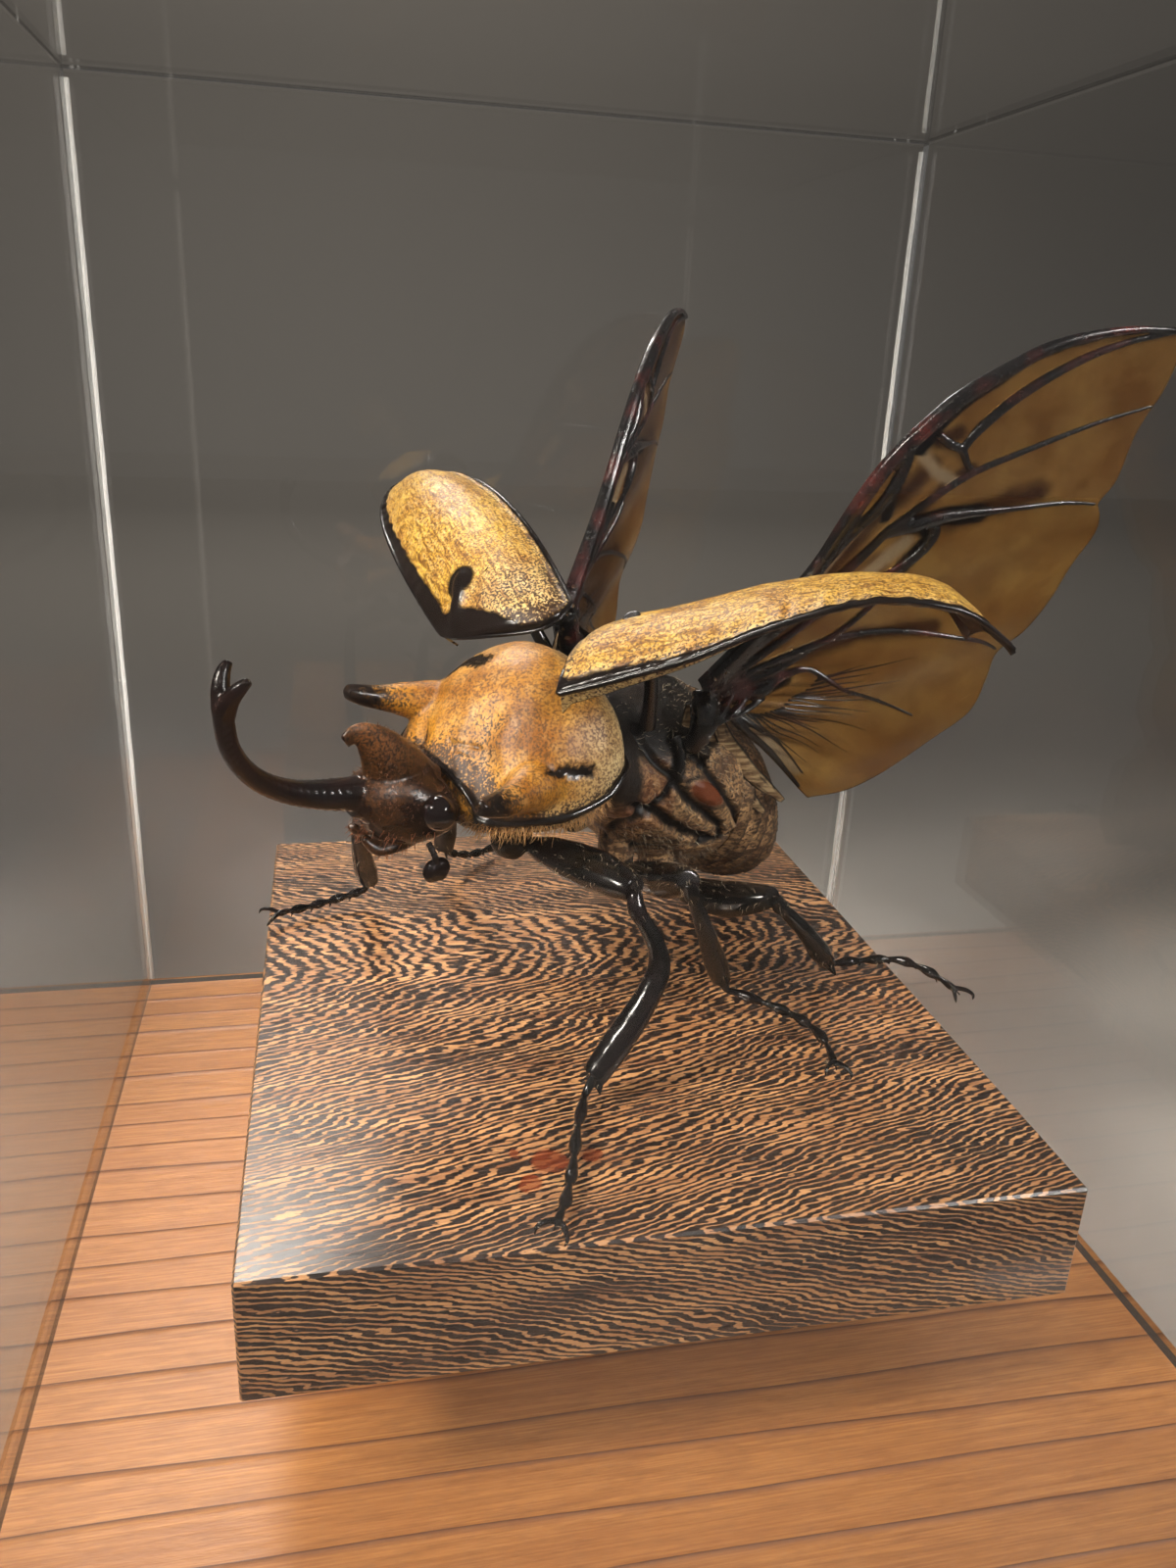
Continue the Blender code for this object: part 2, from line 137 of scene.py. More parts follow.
def times(made, first, second):
    """One pattern or value times another."""
    return math_of(made, "MULTIPLY", first, second)


def plus(made, first, second):
    """One pattern or value added to another."""
    return math_of(made, "ADD", first, second)


FLOOR_HALF = 1400.0
WALL_HEIGHT = 2800.0
WALL_LEAN = -500.0
BEND_RADIUS = 400.0
shape = bmesh.new()
bmesh.ops.create_grid(shape, x_segments=2, y_segments=2, size=FLOOR_HALF * MM)
far_edges = [edge for edge in shape.edges if min(v.co.y for v in edge.verts) > 0.99 * FLOOR_HALF * MM]
raised = bmesh.ops.extrude_edge_only(shape, edges=far_edges)["geom"]
lifted = [item for item in raised if isinstance(item, bmesh.types.BMVert)]
bmesh.ops.translate(shape, vec=(0, WALL_LEAN * MM, WALL_HEIGHT * MM), verts=lifted)
bend = [edge for edge in far_edges if edge.is_valid]
bmesh.ops.bevel(shape, geom=bend, offset=BEND_RADIUS * MM, segments=12, profile=0.5, affect="EDGES",
                material=-1)
bmesh.ops.scale(shape, vec=(3, 1, 1), verts=shape.verts)
backdrop = new_object("studio_floor", shape)
backdrop.data.shade_smooth()
paper = new_finish("pale_paper", Roughness=0.8)
set_sockets(paper, Base_Color=mixed(paper, cloud(paper, own_place(paper), 3.0),
                                    (0.42, 0.40, 0.375), (0.46, 0.44, 0.41)))
backdrop.data.materials.append(paper)

sky = bpy.data.worlds.new("studio_sky")
sky.use_nodes = True
sky_light = sky.node_tree.nodes["Background"].inputs
give(sky, sky_light["Color"], (1.0, 0.96, 0.91))
give(sky, sky_light["Strength"], 0.10)
bpy.context.scene.world = sky
bpy.context.scene.view_settings.view_transform = "Standard"


def softbox(name, place, target, size, power, spread_angle, colour):
    """A square lamp behind a grid that keeps its light near a target, both in millimetres."""
    lamp = bpy.data.lights.new(name, "AREA")
    lamp.size = size * MM
    lamp.energy = power
    lamp.spread = math.radians(spread_angle)
    lamp.color = colour
    held = bpy.data.objects.new(name, lamp)
    held.location = Vector(place) * MM
    facing = (Vector(target) - Vector(place)).to_track_quat("-Z", "Y")
    held.rotation_euler = facing.to_euler()
    bpy.context.scene.collection.objects.link(held)
    return held


softbox("key_softbox", (-450, -150, 440), (0, 10, 76), 90, 0.106, 27, (1.0, 0.93, 0.82))
softbox("fill_softbox", (380, -390, 430), (0, 10, 85), 160, 0.085, 25, (1.0, 0.97, 0.93))
wash = softbox("backdrop_softbox", (0, 420, 620), (0, 900, 260), 400, 1.2, 150, (1.0, 0.92, 0.82))
wash.visible_camera = wash.visible_glossy = wash.visible_transmission = False
softbox("rim_softbox", (-120, 460, 560), (0, 30, 95), 160, 0.06, 26, (1.0, 0.95, 0.88))

# ---------------------------------------------------------------- clear cover
# Five sheets of clear acrylic, polished on their faces and sawn on their edges, cemented to
# each other and set on the board. The sheets are the CAD nodes, in clear plastic.
ACRYLIC_IOR = 1.49
acrylic = new_finish("clear_acrylic", Base_Color=(1.0, 1.0, 1.0), Roughness=0.0, IOR=ACRYLIC_IOR,
                     Transmission_Weight=1.0, Specular_IOR_Level=0.14)


def dress(made, material):
    """Gives a piece one material in place of what it had."""
    made.data.materials.clear()
    made.data.materials.append(material)


for sheet in ("cover_front", "cover_back", "cover_left", "cover_right", "cover_top"):
    dress(NODES[sheet], acrylic)
    NODES[sheet].visible_shadow = False

CORNER_BEAD = 0.42  # radius of the cement line in each upright corner
CORNER_AT = 74.7
CORNER_FOOT = 20.0
BEAD_STEPS = 41
BEAD_STEP = 4.0
cement = new_finish("milky_cement", Base_Color=(0.80, 0.80, 0.78), Roughness=0.35, IOR=ACRYLIC_IOR,
                    Transmission_Weight=0.35)
for corner, (across_sign, depth_sign) in enumerate(((-1, -1), (1, -1), (1, 1), (-1, 1))):
    bead = bmesh.new()
    bmesh.ops.create_circle(bead, cap_ends=True, segments=10, radius=CORNER_BEAD * MM)
    foot = Vector((across_sign * CORNER_AT, depth_sign * CORNER_AT, CORNER_FOOT)) * MM
    bmesh.ops.translate(bead, vec=foot, verts=bead.verts)
    layer = list(bead.faces)
    for step in range(BEAD_STEPS):
        drawn = bmesh.ops.extrude_face_region(bead, geom=layer)["geom"]
        risen = [item for item in drawn if isinstance(item, bmesh.types.BMVert)]
        layer = [item for item in drawn if isinstance(item, bmesh.types.BMFace)]
        sway = Vector((0.06 * math.sin(step * 1.7 + corner), 0.06 * math.cos(step * 2.3), BEAD_STEP)) * MM
        bmesh.ops.translate(bead, vec=sway, verts=risen)
    made = new_object("corner_cement_%d" % corner, bead)
    dress(made, cement)
    made.visible_shadow = False
    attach(made, "root")


# ---------------------------------------------------------------- base board
# A softwood board, brushed so that the hard dark rings of its grain stand up as ridges that
# run the width of the case, then oiled. It is the CAD board in a finish with that grain.
def drawn_place(made, turn, stretch):
    """The piece's own coordinates, turned and drawn out, for grain, combed fur and creases."""
    return knot(made, "Mapping", {"Vector": own_place(made), "Rotation": turn, "Scale": stretch})


softwood = new_finish("oiled_softwood", Roughness=0.42)
for node in ("base_board", "plinth"):
    dress(NODES[node], softwood)
long_place = drawn_place(softwood, (0, 0, 0.03), (1.0, 9.0, 9.0))
waver = cloud(softwood, long_place, 14.0, 2.0)
rings = {"Vector": long_place, "Scale": 5.0, "Distortion": 3.5, "Detail": 2.0, "Detail Scale": 1.2,
         "Detail Roughness": 0.5}
bands = knot(softwood, "TexWave", rings, out=1, wave_type="BANDS", bands_direction="Y",
             wave_profile="SAW")
late = math_of(softwood, "POWER", spread(softwood, bands, 0.80, 0.985), 2.2)
late = math_of(softwood, "MAXIMUM", late, spread(softwood, bands, 0.985, 1.0, 0.0, 0.3))
fibre = cloud(softwood, drawn_place(softwood, (0, 0, 0.02), (1.0, 60.0, 60.0)), 60.0, 4.0)
brushed = cloud(softwood, drawn_place(softwood, (0, 0, 0.02), (160.0, 900.0, 900.0)), 1.0, 3.0, 0.7)
early = mixed(softwood, spread(softwood, fibre, 0.35, 0.65), (0.33, 0.125, 0.032), (0.49, 0.215, 0.062))
early = mixed(softwood, spread(softwood, brushed, 0.30, 0.55, 0.55, 0.0), early, (0.21, 0.068, 0.014))
early = mixed(softwood, spread(softwood, waver, 0.35, 0.7, 0.0, 0.4), early, (0.30, 0.105, 0.026))
ridges = plus(softwood, times(softwood, late, 0.8), times(softwood, brushed, 0.35))
set_sockets(softwood, Base_Color=mixed(softwood, late, early, (0.105, 0.028, 0.007)),
            Normal=grain_relief(softwood, ridges, 0.6, 0.0006))

# ---------------------------------------------------------------- block
# A slab of dark tropical hardwood with close tan stripes, sawn almost along the rings, so that
# the stripes make an arch that opens to the left on its top. It is waxed and sharp at its edges.
RING_PITCH = 0.86
ARCH_AT = 15.0
ARCH_DEPTH = 25.0
ARCH_SLOPE = 0.30
RING_TILT = 1.15
BLOCK_TOP = 54.4
hardwood = new_finish("striped_hardwood", Coat_Weight=0.25, Coat_Roughness=0.18)
dress(NODES["block"], hardwood)
at = own_place(hardwood)
right, back, up = [knot(hardwood, "SeparateXYZ", {0: at}, out=axis) for axis in range(3)]
off_arch = math_of(hardwood, "SUBTRACT", back, ARCH_AT * MM)
squares = plus(hardwood, times(hardwood, off_arch, off_arch), (ARCH_DEPTH * MM) ** 2)
ring = plus(hardwood, math_of(hardwood, "SQRT", squares), times(hardwood, right, ARCH_SLOPE))
ring = plus(hardwood, ring, times(hardwood, up, RING_TILT))


def along_grain(made, across, along, detail, roughness=0.55):
    """Noise drawn out along the block's width, in cycles a metre across and along the grain."""
    place = knot(made, "Mapping", {"Vector": at, "Scale": (along, across, across)})
    return cloud(made, place, 1.0, detail, roughness)


RING_WAVER = [(45.0, 18.0, 4.6, 2.0), (260.0, 75.0, 1.0, 2.0), (1300.0, 330.0, 0.72, 3.0)]
for across, along, reach, detail in RING_WAVER:
    waver = along_grain(hardwood, across, along, detail)
    ring = plus(hardwood, ring, spread(hardwood, waver, 0.0, 1.0, -reach * MM, reach * MM))
wave = math_of(hardwood, "SINE", times(hardwood, ring, 2 * math.pi / (RING_PITCH * MM)))
patchy = spread(hardwood, along_grain(hardwood, 150.0, 45.0, 4.0), 0.3, 0.7, -0.75, 0.55)
pale_stripe = spread(hardwood, plus(hardwood, wave, patchy), 0.10, 0.36)
tan_tone = mixed(hardwood, spread(hardwood, along_grain(hardwood, 500.0, 60.0, 4.0), 0.3, 0.7),
                 (0.22, 0.090, 0.034), (0.54, 0.280, 0.112))
dark_tone = mixed(hardwood, spread(hardwood, along_grain(hardwood, 1600.0, 160.0, 3.0), 0.35, 0.65),
                  (0.010, 0.007, 0.006), (0.035, 0.019, 0.013))
pore_lines = spread(hardwood, along_grain(hardwood, 5200.0, 420.0, 2.0), 0.60, 0.68)
wood_tone = mixed(hardwood, pale_stripe, dark_tone, tan_tone)
wood_tone = mixed(hardwood, times(hardwood, pore_lines, 0.7), wood_tone, (0.006, 0.004, 0.004))
wood_relief = math_of(hardwood, "SUBTRACT", times(hardwood, pale_stripe, 0.4), pore_lines)
STAIN_SPOTS = [(-11.6, -39.2, 4.2), (-14.7, -42.6, 2.6), (-6.2, -38.3, 2.4), (-15.5, -37.0, 1.8)]
STAIN_RAGGED = 1.2
stain = 0.0
for stain_x, stain_y, reach in STAIN_SPOTS:
    middle = (stain_x * MM, stain_y * MM, BLOCK_TOP * MM)
    away = knot(hardwood, "VectorMath", {0: at, 1: middle}, out=1, operation="DISTANCE")
    ragged = spread(hardwood, cloud(hardwood, at, 420.0), 0.0, 1.0, -STAIN_RAGGED * MM, STAIN_RAGGED * MM)
    spot = spread(hardwood, plus(hardwood, away, ragged), 0.4 * reach * MM, 0.62 * reach * MM, 1.0, 0.0)
    stain = math_of(hardwood, "MAXIMUM", stain, spot)
wood_tone = mixed(hardwood, times(hardwood, stain, 0.72), wood_tone, (0.16, 0.026, 0.006))
wood_gloss = math_of(hardwood, "SUBTRACT", spread(hardwood, pale_stripe, 0.0, 1.0, 0.30, 0.42),
                     times(hardwood, stain, 0.22))
set_sockets(hardwood, Base_Color=wood_tone, Roughness=wood_gloss,
            Normal=grain_relief(hardwood, wood_relief, 0.35, 0.00012))

# ---------------------------------------------------------------- pronotum
# The shield behind the head: one hard plate, swollen in the middle, with a short horn at each
# front corner. It is covered in golden down, worn or missing on its black glossy rims,
# horn tips and two side pits.
POSE = (Matrix.Translation(Vector((-8.0, 1.0, 101.0)) * MM)
        @ Euler([math.radians(turn) for turn in (-14.0, 0.0, 210.0)]).to_matrix().to_4x4()
        @ Matrix.Scale(MM, 4))


def eased(rows, count):
    """Evenly numbered rows on a smooth curve through the given rows."""
    given = np.array(rows, float)
    place = np.linspace(0, len(given) - 1, count)
    low = np.clip(place.astype(int), 0, len(given) - 2)
    step = (place - low)[:, None]
    before, here = given[np.clip(low - 1, 0, None)], given[low]
    after, beyond = given[low + 1], given[np.clip(low + 2, None, len(given) - 1)]
    bend = (2 * before - 5 * here + 4 * after - beyond) * step ** 2
    twist = (3 * here - before - 3 * after + beyond) * step ** 3
    return 0.5 * (2 * here + (after - before) * step + bend + twist)


def loft(shape, rings):
    """Joins rings of points, each with as many points as the first, and closes both ends."""
    loops = []
    for ring in rings:
        verts = bmesh.ops.create_circle(shape, segments=len(ring), radius=1.0)["verts"]
        for vert, place in zip(verts, ring):
            vert.co = place
        loops.append(list({edge for vert in verts for edge in vert.link_edges}))
    for first, second in zip(loops, loops[1:]):
        bmesh.ops.bridge_loops(shape, edges=first + second)
    bmesh.ops.contextual_create(shape, geom=loops[0])
    bmesh.ops.contextual_create(shape, geom=loops[-1])


def oval_body(shape, sections, rings, sides):
    """A body segment through upright ovals given as x, half width, top, widest and bottom z."""
    turns = np.linspace(0, 2 * math.pi, sides, endpoint=False)
    upright = np.sin(turns)
    made = []
    for x, half_width, top, widest, bottom in eased(sections, rings):
        z = widest + np.where(upright > 0, top - widest, widest - bottom) * upright
        made.append([Vector((x, half_width * math.cos(turn), up)) for turn, up in zip(turns, z)])
    loft(shape, made)


def tube(shape, path, radii, rings=24, sides=16, flat=(1.0, 1.0)):
    """A tapered tube on a smooth path; flat narrows or widens it sideways and upright."""
    line = [Vector(point) for point in eased(path, rings)]
    widths = np.interp(np.linspace(0, 1, rings), np.linspace(0, 1, len(radii)), radii)
    turns = np.linspace(0, 2 * math.pi, sides, endpoint=False)
    made = []
    for index, (point, radius) in enumerate(zip(line, widths)):
        ahead = line[min(index + 1, rings - 1)] - line[max(index - 1, 0)]
        facing = ahead.to_track_quat("Z", "Y")
        wide, high = radius * flat[0], radius * flat[1]
        made.append([point + facing @ Vector((math.cos(turn) * wide, math.sin(turn) * high, 0))
                     for turn in turns])
    loft(shape, made)


def one_skin(name, shape, voxel, smoothing):
    """Overlapping closed shells made into one even skin, still in the beetle's millimetres."""
    bmesh.ops.recalc_face_normals(shape, faces=shape.faces)
    made = new_object(name, shape)
    skin = made.modifiers.new("one_skin", "REMESH")
    skin.mode = "VOXEL"
    skin.voxel_size = voxel
    even = made.modifiers.new("even", "SMOOTH")
    even.iterations = smoothing
    finished = made.evaluated_get(bpy.context.evaluated_depsgraph_get())
    made.data = bpy.data.meshes.new_from_object(finished)
    made.modifiers.clear()
    return made


def points_of(made):
    """Every point of a mesh, one row each."""
    flat = np.empty(len(made.data.vertices) * 3)
    made.data.vertices.foreach_get("co", flat)
    return flat.reshape(-1, 3)


def normals_of(made):
    """The way out of the surface at every point."""
    flat = np.empty(len(made.data.vertices) * 3, np.float32)
    made.data.vertex_normals.foreach_get("vector", flat)
    return flat.reshape(-1, 3).astype(float)


def move_to(made, points):
    """Gives a mesh new places for its points."""
    made.data.vertices.foreach_set("co", points.ravel())
    made.data.update()


def paint(made, name, values):
    """A value from 0 to 1 kept at each point of the mesh, for its material to read."""
    layer = made.data.attributes.new(name, "FLOAT", "POINT")
    layer.data.foreach_set("value", np.clip(values, 0, 1).astype(np.float32))


def settle(made, material, slot_name, *nodes):
    """Sets a shaped piece in the beetle's pose, gives it its material and hides the CAD nodes it stands in
    for.
    """
    made.data.transform(POSE)
    made.data.shade_smooth()
    dress(made, material)
    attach(made, "root")
    if nodes:
        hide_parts(*nodes)
    return made


def from_path(points, path):
    """Shortest distance of each point to a path of straight steps."""
    nearest = np.full(len(points), 1e9)
    for start, end in zip(np.array(path[:-1], float), np.array(path[1:], float)):
        step = end - start
        share = np.clip(((points - start) @ step) / (step @ step), 0, 1)
        away = np.linalg.norm(points - start - share[:, None] * step, axis=1)
        nearest = np.minimum(nearest, away)
    return nearest


def laid_on(points, path, count=16):
    """A smooth path moved onto the nearest points of a mesh."""
    nearest = [np.argmin(np.linalg.norm(points - place, axis=1)) for place in eased(path, count)]
    return [tuple(points[index]) for index in nearest]


def other_side(path):
    """A path mirrored to the beetle's other side."""
    return [(x, -y, z) for x, y, z in path]


def falls(distance, near, far):
    """1 up to near, falling smoothly to 0 at far."""
    share = np.clip((far - distance) / (far - near), 0, 1)
    return share * share * (3 - 2 * share)


def beside(points, path, near, far, stray=0.0):
    """1 on a path and out to near, falling to 0 at far; stray shifts the distances."""
    return falls(from_path(points, path) + stray, near, far)


def ramp(value, start, width):
    """0 up to start, rising evenly to 1 over width."""
    return np.clip((value - start) / width, 0, 1)


def roughened(points, size, seed):
    """Soft noise at each point, about -1 to 1, over features of the given size."""
    shift = Vector((seed * 7.3, seed * 3.1, seed * 5.7))
    return np.array([noise.noise(Vector(point) / size + shift) for point in points])


def hair_finish(name, colour):
    """One colour of hair, a little glossy."""
    return new_finish(name, Base_Color=colour, Roughness=0.45, IOR=1.5)


def strands_on(points, outward, mask, count, length, lean, seed):
    """Roots, tips and bows of hairs that stand on some of a mesh's points."""
    chance = np.random.default_rng(seed)
    allowed = np.flatnonzero(mask)
    strands = []
    for index in chance.choice(allowed, min(count, len(allowed)), replace=False):
        root = Vector(points[index]) - Vector(outward[index]) * 0.1
        stray = Vector(chance.normal(0, 0.28, 3))
        reach = (Vector(outward[index]) * 0.5 + Vector(lean) + stray) * length * chance.uniform(0.6, 1.2)
        strands.append((root, root + reach, Vector(chance.normal(0, 0.12, 3)) * length))
    return strands


def hairs(name, strands, thickness, finish, slot_name):
    """Fine tapering hairs, made from curves and kept as one mesh."""
    lines = bpy.data.curves.new(name, "CURVE")
    lines.dimensions = "3D"
    lines.bevel_depth = thickness
    lines.bevel_resolution = 0
    for root, tip, bow in strands:
        line = lines.splines.new("POLY")
        line.points.add(3)
        for index, share in enumerate((0.0, 0.35, 0.7, 1.0)):
            line.points[index].co = (*(root.lerp(tip, share) + bow * math.sin(math.pi * share)), 1.0)
            line.points[index].radius = 1.0 - 0.85 * share
    holder = bpy.data.objects.new(name + "_lines", lines)
    bpy.context.scene.collection.objects.link(holder)
    finished = holder.evaluated_get(bpy.context.evaluated_depsgraph_get())
    made = bpy.data.objects.new(name, bpy.data.meshes.new_from_object(finished))
    bpy.context.scene.collection.objects.link(made)
    bpy.data.objects.remove(holder)
    settle(made, finish, slot_name)


def painted(made, name):
    """A value that paint() keeps at the points of the mesh."""
    return knot(made, "Attribute", attribute_name=name, out=2)


def mottled(made, scale, low, high, first, second, roughness=0.5, detail=3.0):
    """A colour that drifts between two over the piece."""
    drift = cloud(made, own_place(made), scale, detail, roughness)
    return mixed(made, spread(made, drift, low, high), first, second)


black_shell = new_finish("black_glossy_shell", IOR=1.55, Coat_Weight=0.4, Coat_Roughness=0.06)
pores = cloud(black_shell, own_place(black_shell), 1300.0, 3.0, 0.6)
set_sockets(black_shell, Roughness=spread(black_shell, pores, 0.3, 0.7, 0.12, 0.26),
            Base_Color=mottled(black_shell, 300.0, 0.4, 0.7, (0.003, 0.002, 0.002), (0.010, 0.006, 0.005)),
            Normal=grain_relief(black_shell, pores, 0.30, 0.00016))
STIPPLE_BROWN = (0.080, 0.028, 0.007)
STREAK_BROWN = (0.150, 0.055, 0.009)
PALE_DOWN_AND_HIGHLIGHT = (0.54, 0.42, 0.22)
SPECK_SCALE = 2700.0
HAIR_SCALE = 6480.0


def downy_finish(name, gold, deep, place, streak_from, streak_share, streak_highlight_share):
    """Golden down over a black shell; the painted masks black, dusk and pale lead it."""
    made = new_finish(name, IOR=1.5, Specular_IOR_Level=0.28)
    at = own_place(made)
    black = painted(made, "black")
    broad = spread(made, cloud(made, at, 150.0, 4.0, 0.6), 0.35, 0.65)
    flow = cloud(made, place(made), 1.0, 4.0, 0.65)
    colour = mixed(made, painted(made, "pale"), mixed(made, broad, deep, gold), PALE_DOWN_AND_HIGHLIGHT)
    # Pale streaks along the lie of the down, partly the down's own colour and partly painted highlight.
    pale_streak_highlight = spread(made, flow, 0.50, 0.36)
    colour = mixed(made, times(made, pale_streak_highlight, streak_highlight_share), colour, PALE_DOWN_AND_HIGHLIGHT)
    colour = mixed(made, spread(made, flow, streak_from, 0.62, 0.0, streak_share), colour, STREAK_BROWN)
    specks = cloud(made, at, SPECK_SCALE, 2.0, 0.6)
    stipple = times(made, spread(made, specks, 0.46, 0.56), spread(made, broad, 0.0, 1.0, 0.90, 0.60))
    colour = mixed(made, stipple, colour, STIPPLE_BROWN)
    # Dusk lets black specks through the down: stipple and wear on the rims and bases, and painted shade in
    # the shield's creases.
    wear_and_shade_at = spread(made, painted(made, "dusk"), 0.0, 1.0, 0.72, 0.40)
    bare = spread(made, math_of(made, "SUBTRACT", specks, wear_and_shade_at), -0.02, 0.04)
    shell = mixed(made, black, (0.035, 0.015, 0.006), (0.010, 0.007, 0.006))
    colour = mixed(made, math_of(made, "MAXIMUM", black, bare), colour, shell)
    lie = plus(made, cloud(made, at, HAIR_SCALE, 2.0, 0.7), times(made, flow, 1.6))
    down_height = times(made, lie, spread(made, black, 0.0, 1.0, 1.0, 0.05))
    set_sockets(made, Base_Color=colour, Roughness=spread(made, black, 0.0, 1.0, 0.40, 0.13),
                Normal=grain_relief(made, down_height, 0.35, 0.00012))
    return made


def plain_place(made):
    """The piece's own coordinates at the scale of its down."""
    return knot(made, "Mapping", {"Vector": own_place(made), "Scale": (420.0, 420.0, 420.0)})


pronotum_down = downy_finish("golden_down", (0.43, 0.195, 0.014), (0.21, 0.075, 0.004), plain_place,
                             0.48, 0.45, 0.15)

PRONOTUM_SECTIONS = [
    (-6.6, 12.0, 2.6, -4.8, -9.6), (-5.8, 13.8, 4.4, -5.4, -11.0),
    (-4.0, 15.0, 5.6, -6.4, -12.6), (-1.0, 15.9, 6.4, -8.2, -14.6),
    (5.0, 15.6, 4.2, -9.8, -15.8), (10.0, 13.6, -0.8, -10.2, -15.8),
    (13.6, 11.0, -6.2, -11.0, -15.6), (14.6, 9.0, -8.2, -11.4, -14.6),
]
SIDE_HORN = [(5.0, 10.4, -6.8), (9.5, 12.4, -5.8), (13.5, 14.0, -5.4), (17.4, 15.0, -4.8),
             (20.6, 15.6, -3.9)]
SIDE_HORN_RADII = [4.6, 3.9, 2.9, 2.2, 1.8, 1.5, 1.1]


def half_arc(section):
    """Points over the back of one oval section, from its left side to its right."""
    x_at, half, top, widest, _ = section
    turns = np.linspace(0, math.pi, 13)
    return [(x_at, half * math.cos(turn), widest + (top - widest) * math.sin(turn)) for turn in turns]


shape = bmesh.new()
oval_body(shape, PRONOTUM_SECTIONS, 44, 72)
for horn in (SIDE_HORN, other_side(SIDE_HORN)):
    tube(shape, horn, SIDE_HORN_RADII, rings=20, sides=20, flat=(1.0, 0.92))
HIP_RADII = [2.4, 2.75, 3.0, 2.7, 1.7]


def hip(shape, inner, socket):
    """A round joint that a thigh starts from, on a straight stem out of the body."""
    inner, socket = Vector(inner), Vector(socket)
    down = (socket - inner).normalized() * 3.0
    stem = [inner, inner.lerp(socket, 0.5), socket, socket + down * 0.45, socket + down * 0.85]
    tube(shape, stem, HIP_RADII, rings=20, sides=24)


FRONT_HIPS = [((4.6, 6.0, -12.5), (5.29, 6.36, -18.42)), ((4.6, -6.0, -12.5), (3.75, -5.95, -20.9))]
for inner, socket in FRONT_HIPS:
    hip(shape, inner, socket)
pronotum = one_skin("pronotum_shell", shape, 0.33, 6)
points, outward = points_of(pronotum), normals_of(pronotum)
x, y, z = points.T
side_edge = [(x_at, half + 0.1, widest + 0.2) for x_at, half, _, widest, _ in PRONOTUM_SECTIONS]
END_ARCS = [half_arc(PRONOTUM_SECTIONS[0]), half_arc(PRONOTUM_SECTIONS[-1])]
EDGES = [side_edge, other_side(side_edge), *END_ARCS]
rim_line = np.min([from_path(points, edge) for edge in EDGES], axis=0)
NEAR_FURROW = [(14.2, 8.4, -8.6), (13.4, 7.6, -7.4), (12.5, 5.6, -5.2), (11.6, 3.4, -3.6),
               (9.5, 2.6, -1.6)]
FAR_CREASE = [(14.0, -5.6, -7.6), (13.6, -5.8, -7.0), (11.9, -7.8, -5.4), (10.2, -8.5, -3.3)]
BROW_CREASES = [[(13.0, -1.2, -5.4), (12.5, 1.2, -4.6), (11.8, 3.5, -3.9)],
                [(13.2, 0.4, -5.8), (12.8, 2.6, -5.2)]]
PIT = [(7.4, 13.5, -2.6), (4.6, 14.2, -3.3), (1.4, 14.7, -3.6)]
FAR_PIT = [(6.0, -12.0, -0.9), (4.4, -10.6, 0.6), (4.6, -7.0, 2.6)]
furrow = beside(points, NEAR_FURROW, 0.2, 4.2)
far_furrow = beside(points, FAR_CREASE, 0.1, 2.2)
pits = np.maximum(beside(points, PIT, 0.1, 1.3), beside(points, FAR_PIT, 0.1, 1.6))
wander = roughened(points, 0.9, 3) * 0.5
brows = np.max([beside(points, crease, 0.0, 0.45, 0.6 * wander) for crease in BROW_CREASES], axis=0)
relief = 0.35 * falls(rim_line, 0.1, 0.9) - 0.75 * furrow - 0.45 * far_furrow - 0.3 * pits - 0.15 * brows
relief += 0.22 * roughened(points, 5.0, 1) + 0.05 * roughened(points, 1.1, 2)
move_to(pronotum, points + outward * relief[:, None])
tip = ramp(x, 14.6, 2.8) * (np.abs(y) > 10)
section_x, _, _, section_widest, _ = np.array(PRONOTUM_SECTIONS).T
widest = np.interp(x, section_x, section_widest)
under = ramp(-z, 0.9 - widest, 1.2) * (1 - ramp(np.abs(y), 9.0, 2.0) * (x > 11))
ragged = wander + 0.7 * roughened(points, 0.5, 17)
spots = np.maximum(beside(points, PIT, 0.6, 1.2, ragged), beside(points, FAR_PIT, 1.1, 1.9, ragged))
black = [falls(rim_line, 0.55, 0.85), tip + wander * 0.6 * (tip > 0.05), spots, 0.6 * brows, 0.8 * under,
         beside(points, FAR_CREASE, 0.05, 0.3), ramp(-x, 5.9, 0.4), ramp(-z, 15.6, 0.8)]
paint(pronotum, "black", np.max(black, axis=0))
horn_front = ramp(x, 11.5, 4.0) * (np.abs(y) > 9.5)
brow_shade = beside(points, [(13.6, -1.5, -6.4), (13.9, 4.0, -7.4), (13.2, 8.0, -7.8)], 0.3, 3.4)
# Dusk thickens the black stipple near the rims, at the horn bases and round the side pits, and lays painted
# shade as stipple in the front furrow and along the brow.
stipple_and_crease_shade = 0.75 * falls(rim_line, 0.6, 3.2) + 0.5 * brow_shade + 0.78 * horn_front + 0.45 * furrow + 0.3 * pits
paint(pronotum, "dusk", 0.16 + stipple_and_crease_shade + 0.25 * wander)
rear_side = ramp(-x, -6.0, 9.0) * ramp(-z, -5.5, 8.0) * (np.abs(y) > 3)
rim_pale = 0.5 * falls(rim_line, 0.6, 4.0) * (x < 9) + 0.55 * ramp(-x, 0.5, 4.0)
paint(pronotum, "pale", np.maximum(0.9 * rear_side, rim_pale) + 0.1 * wander)
fringe = (rim_line < 2.2) & (z < widest - 0.2) & (x > -3.0) & (z > -15.0)
fringe_strands = strands_on(points, outward, fringe, 700, 1.7, (0.1, 0.0, -0.55), 41)
settle(pronotum, pronotum_down, "golden_down", "pronotum")
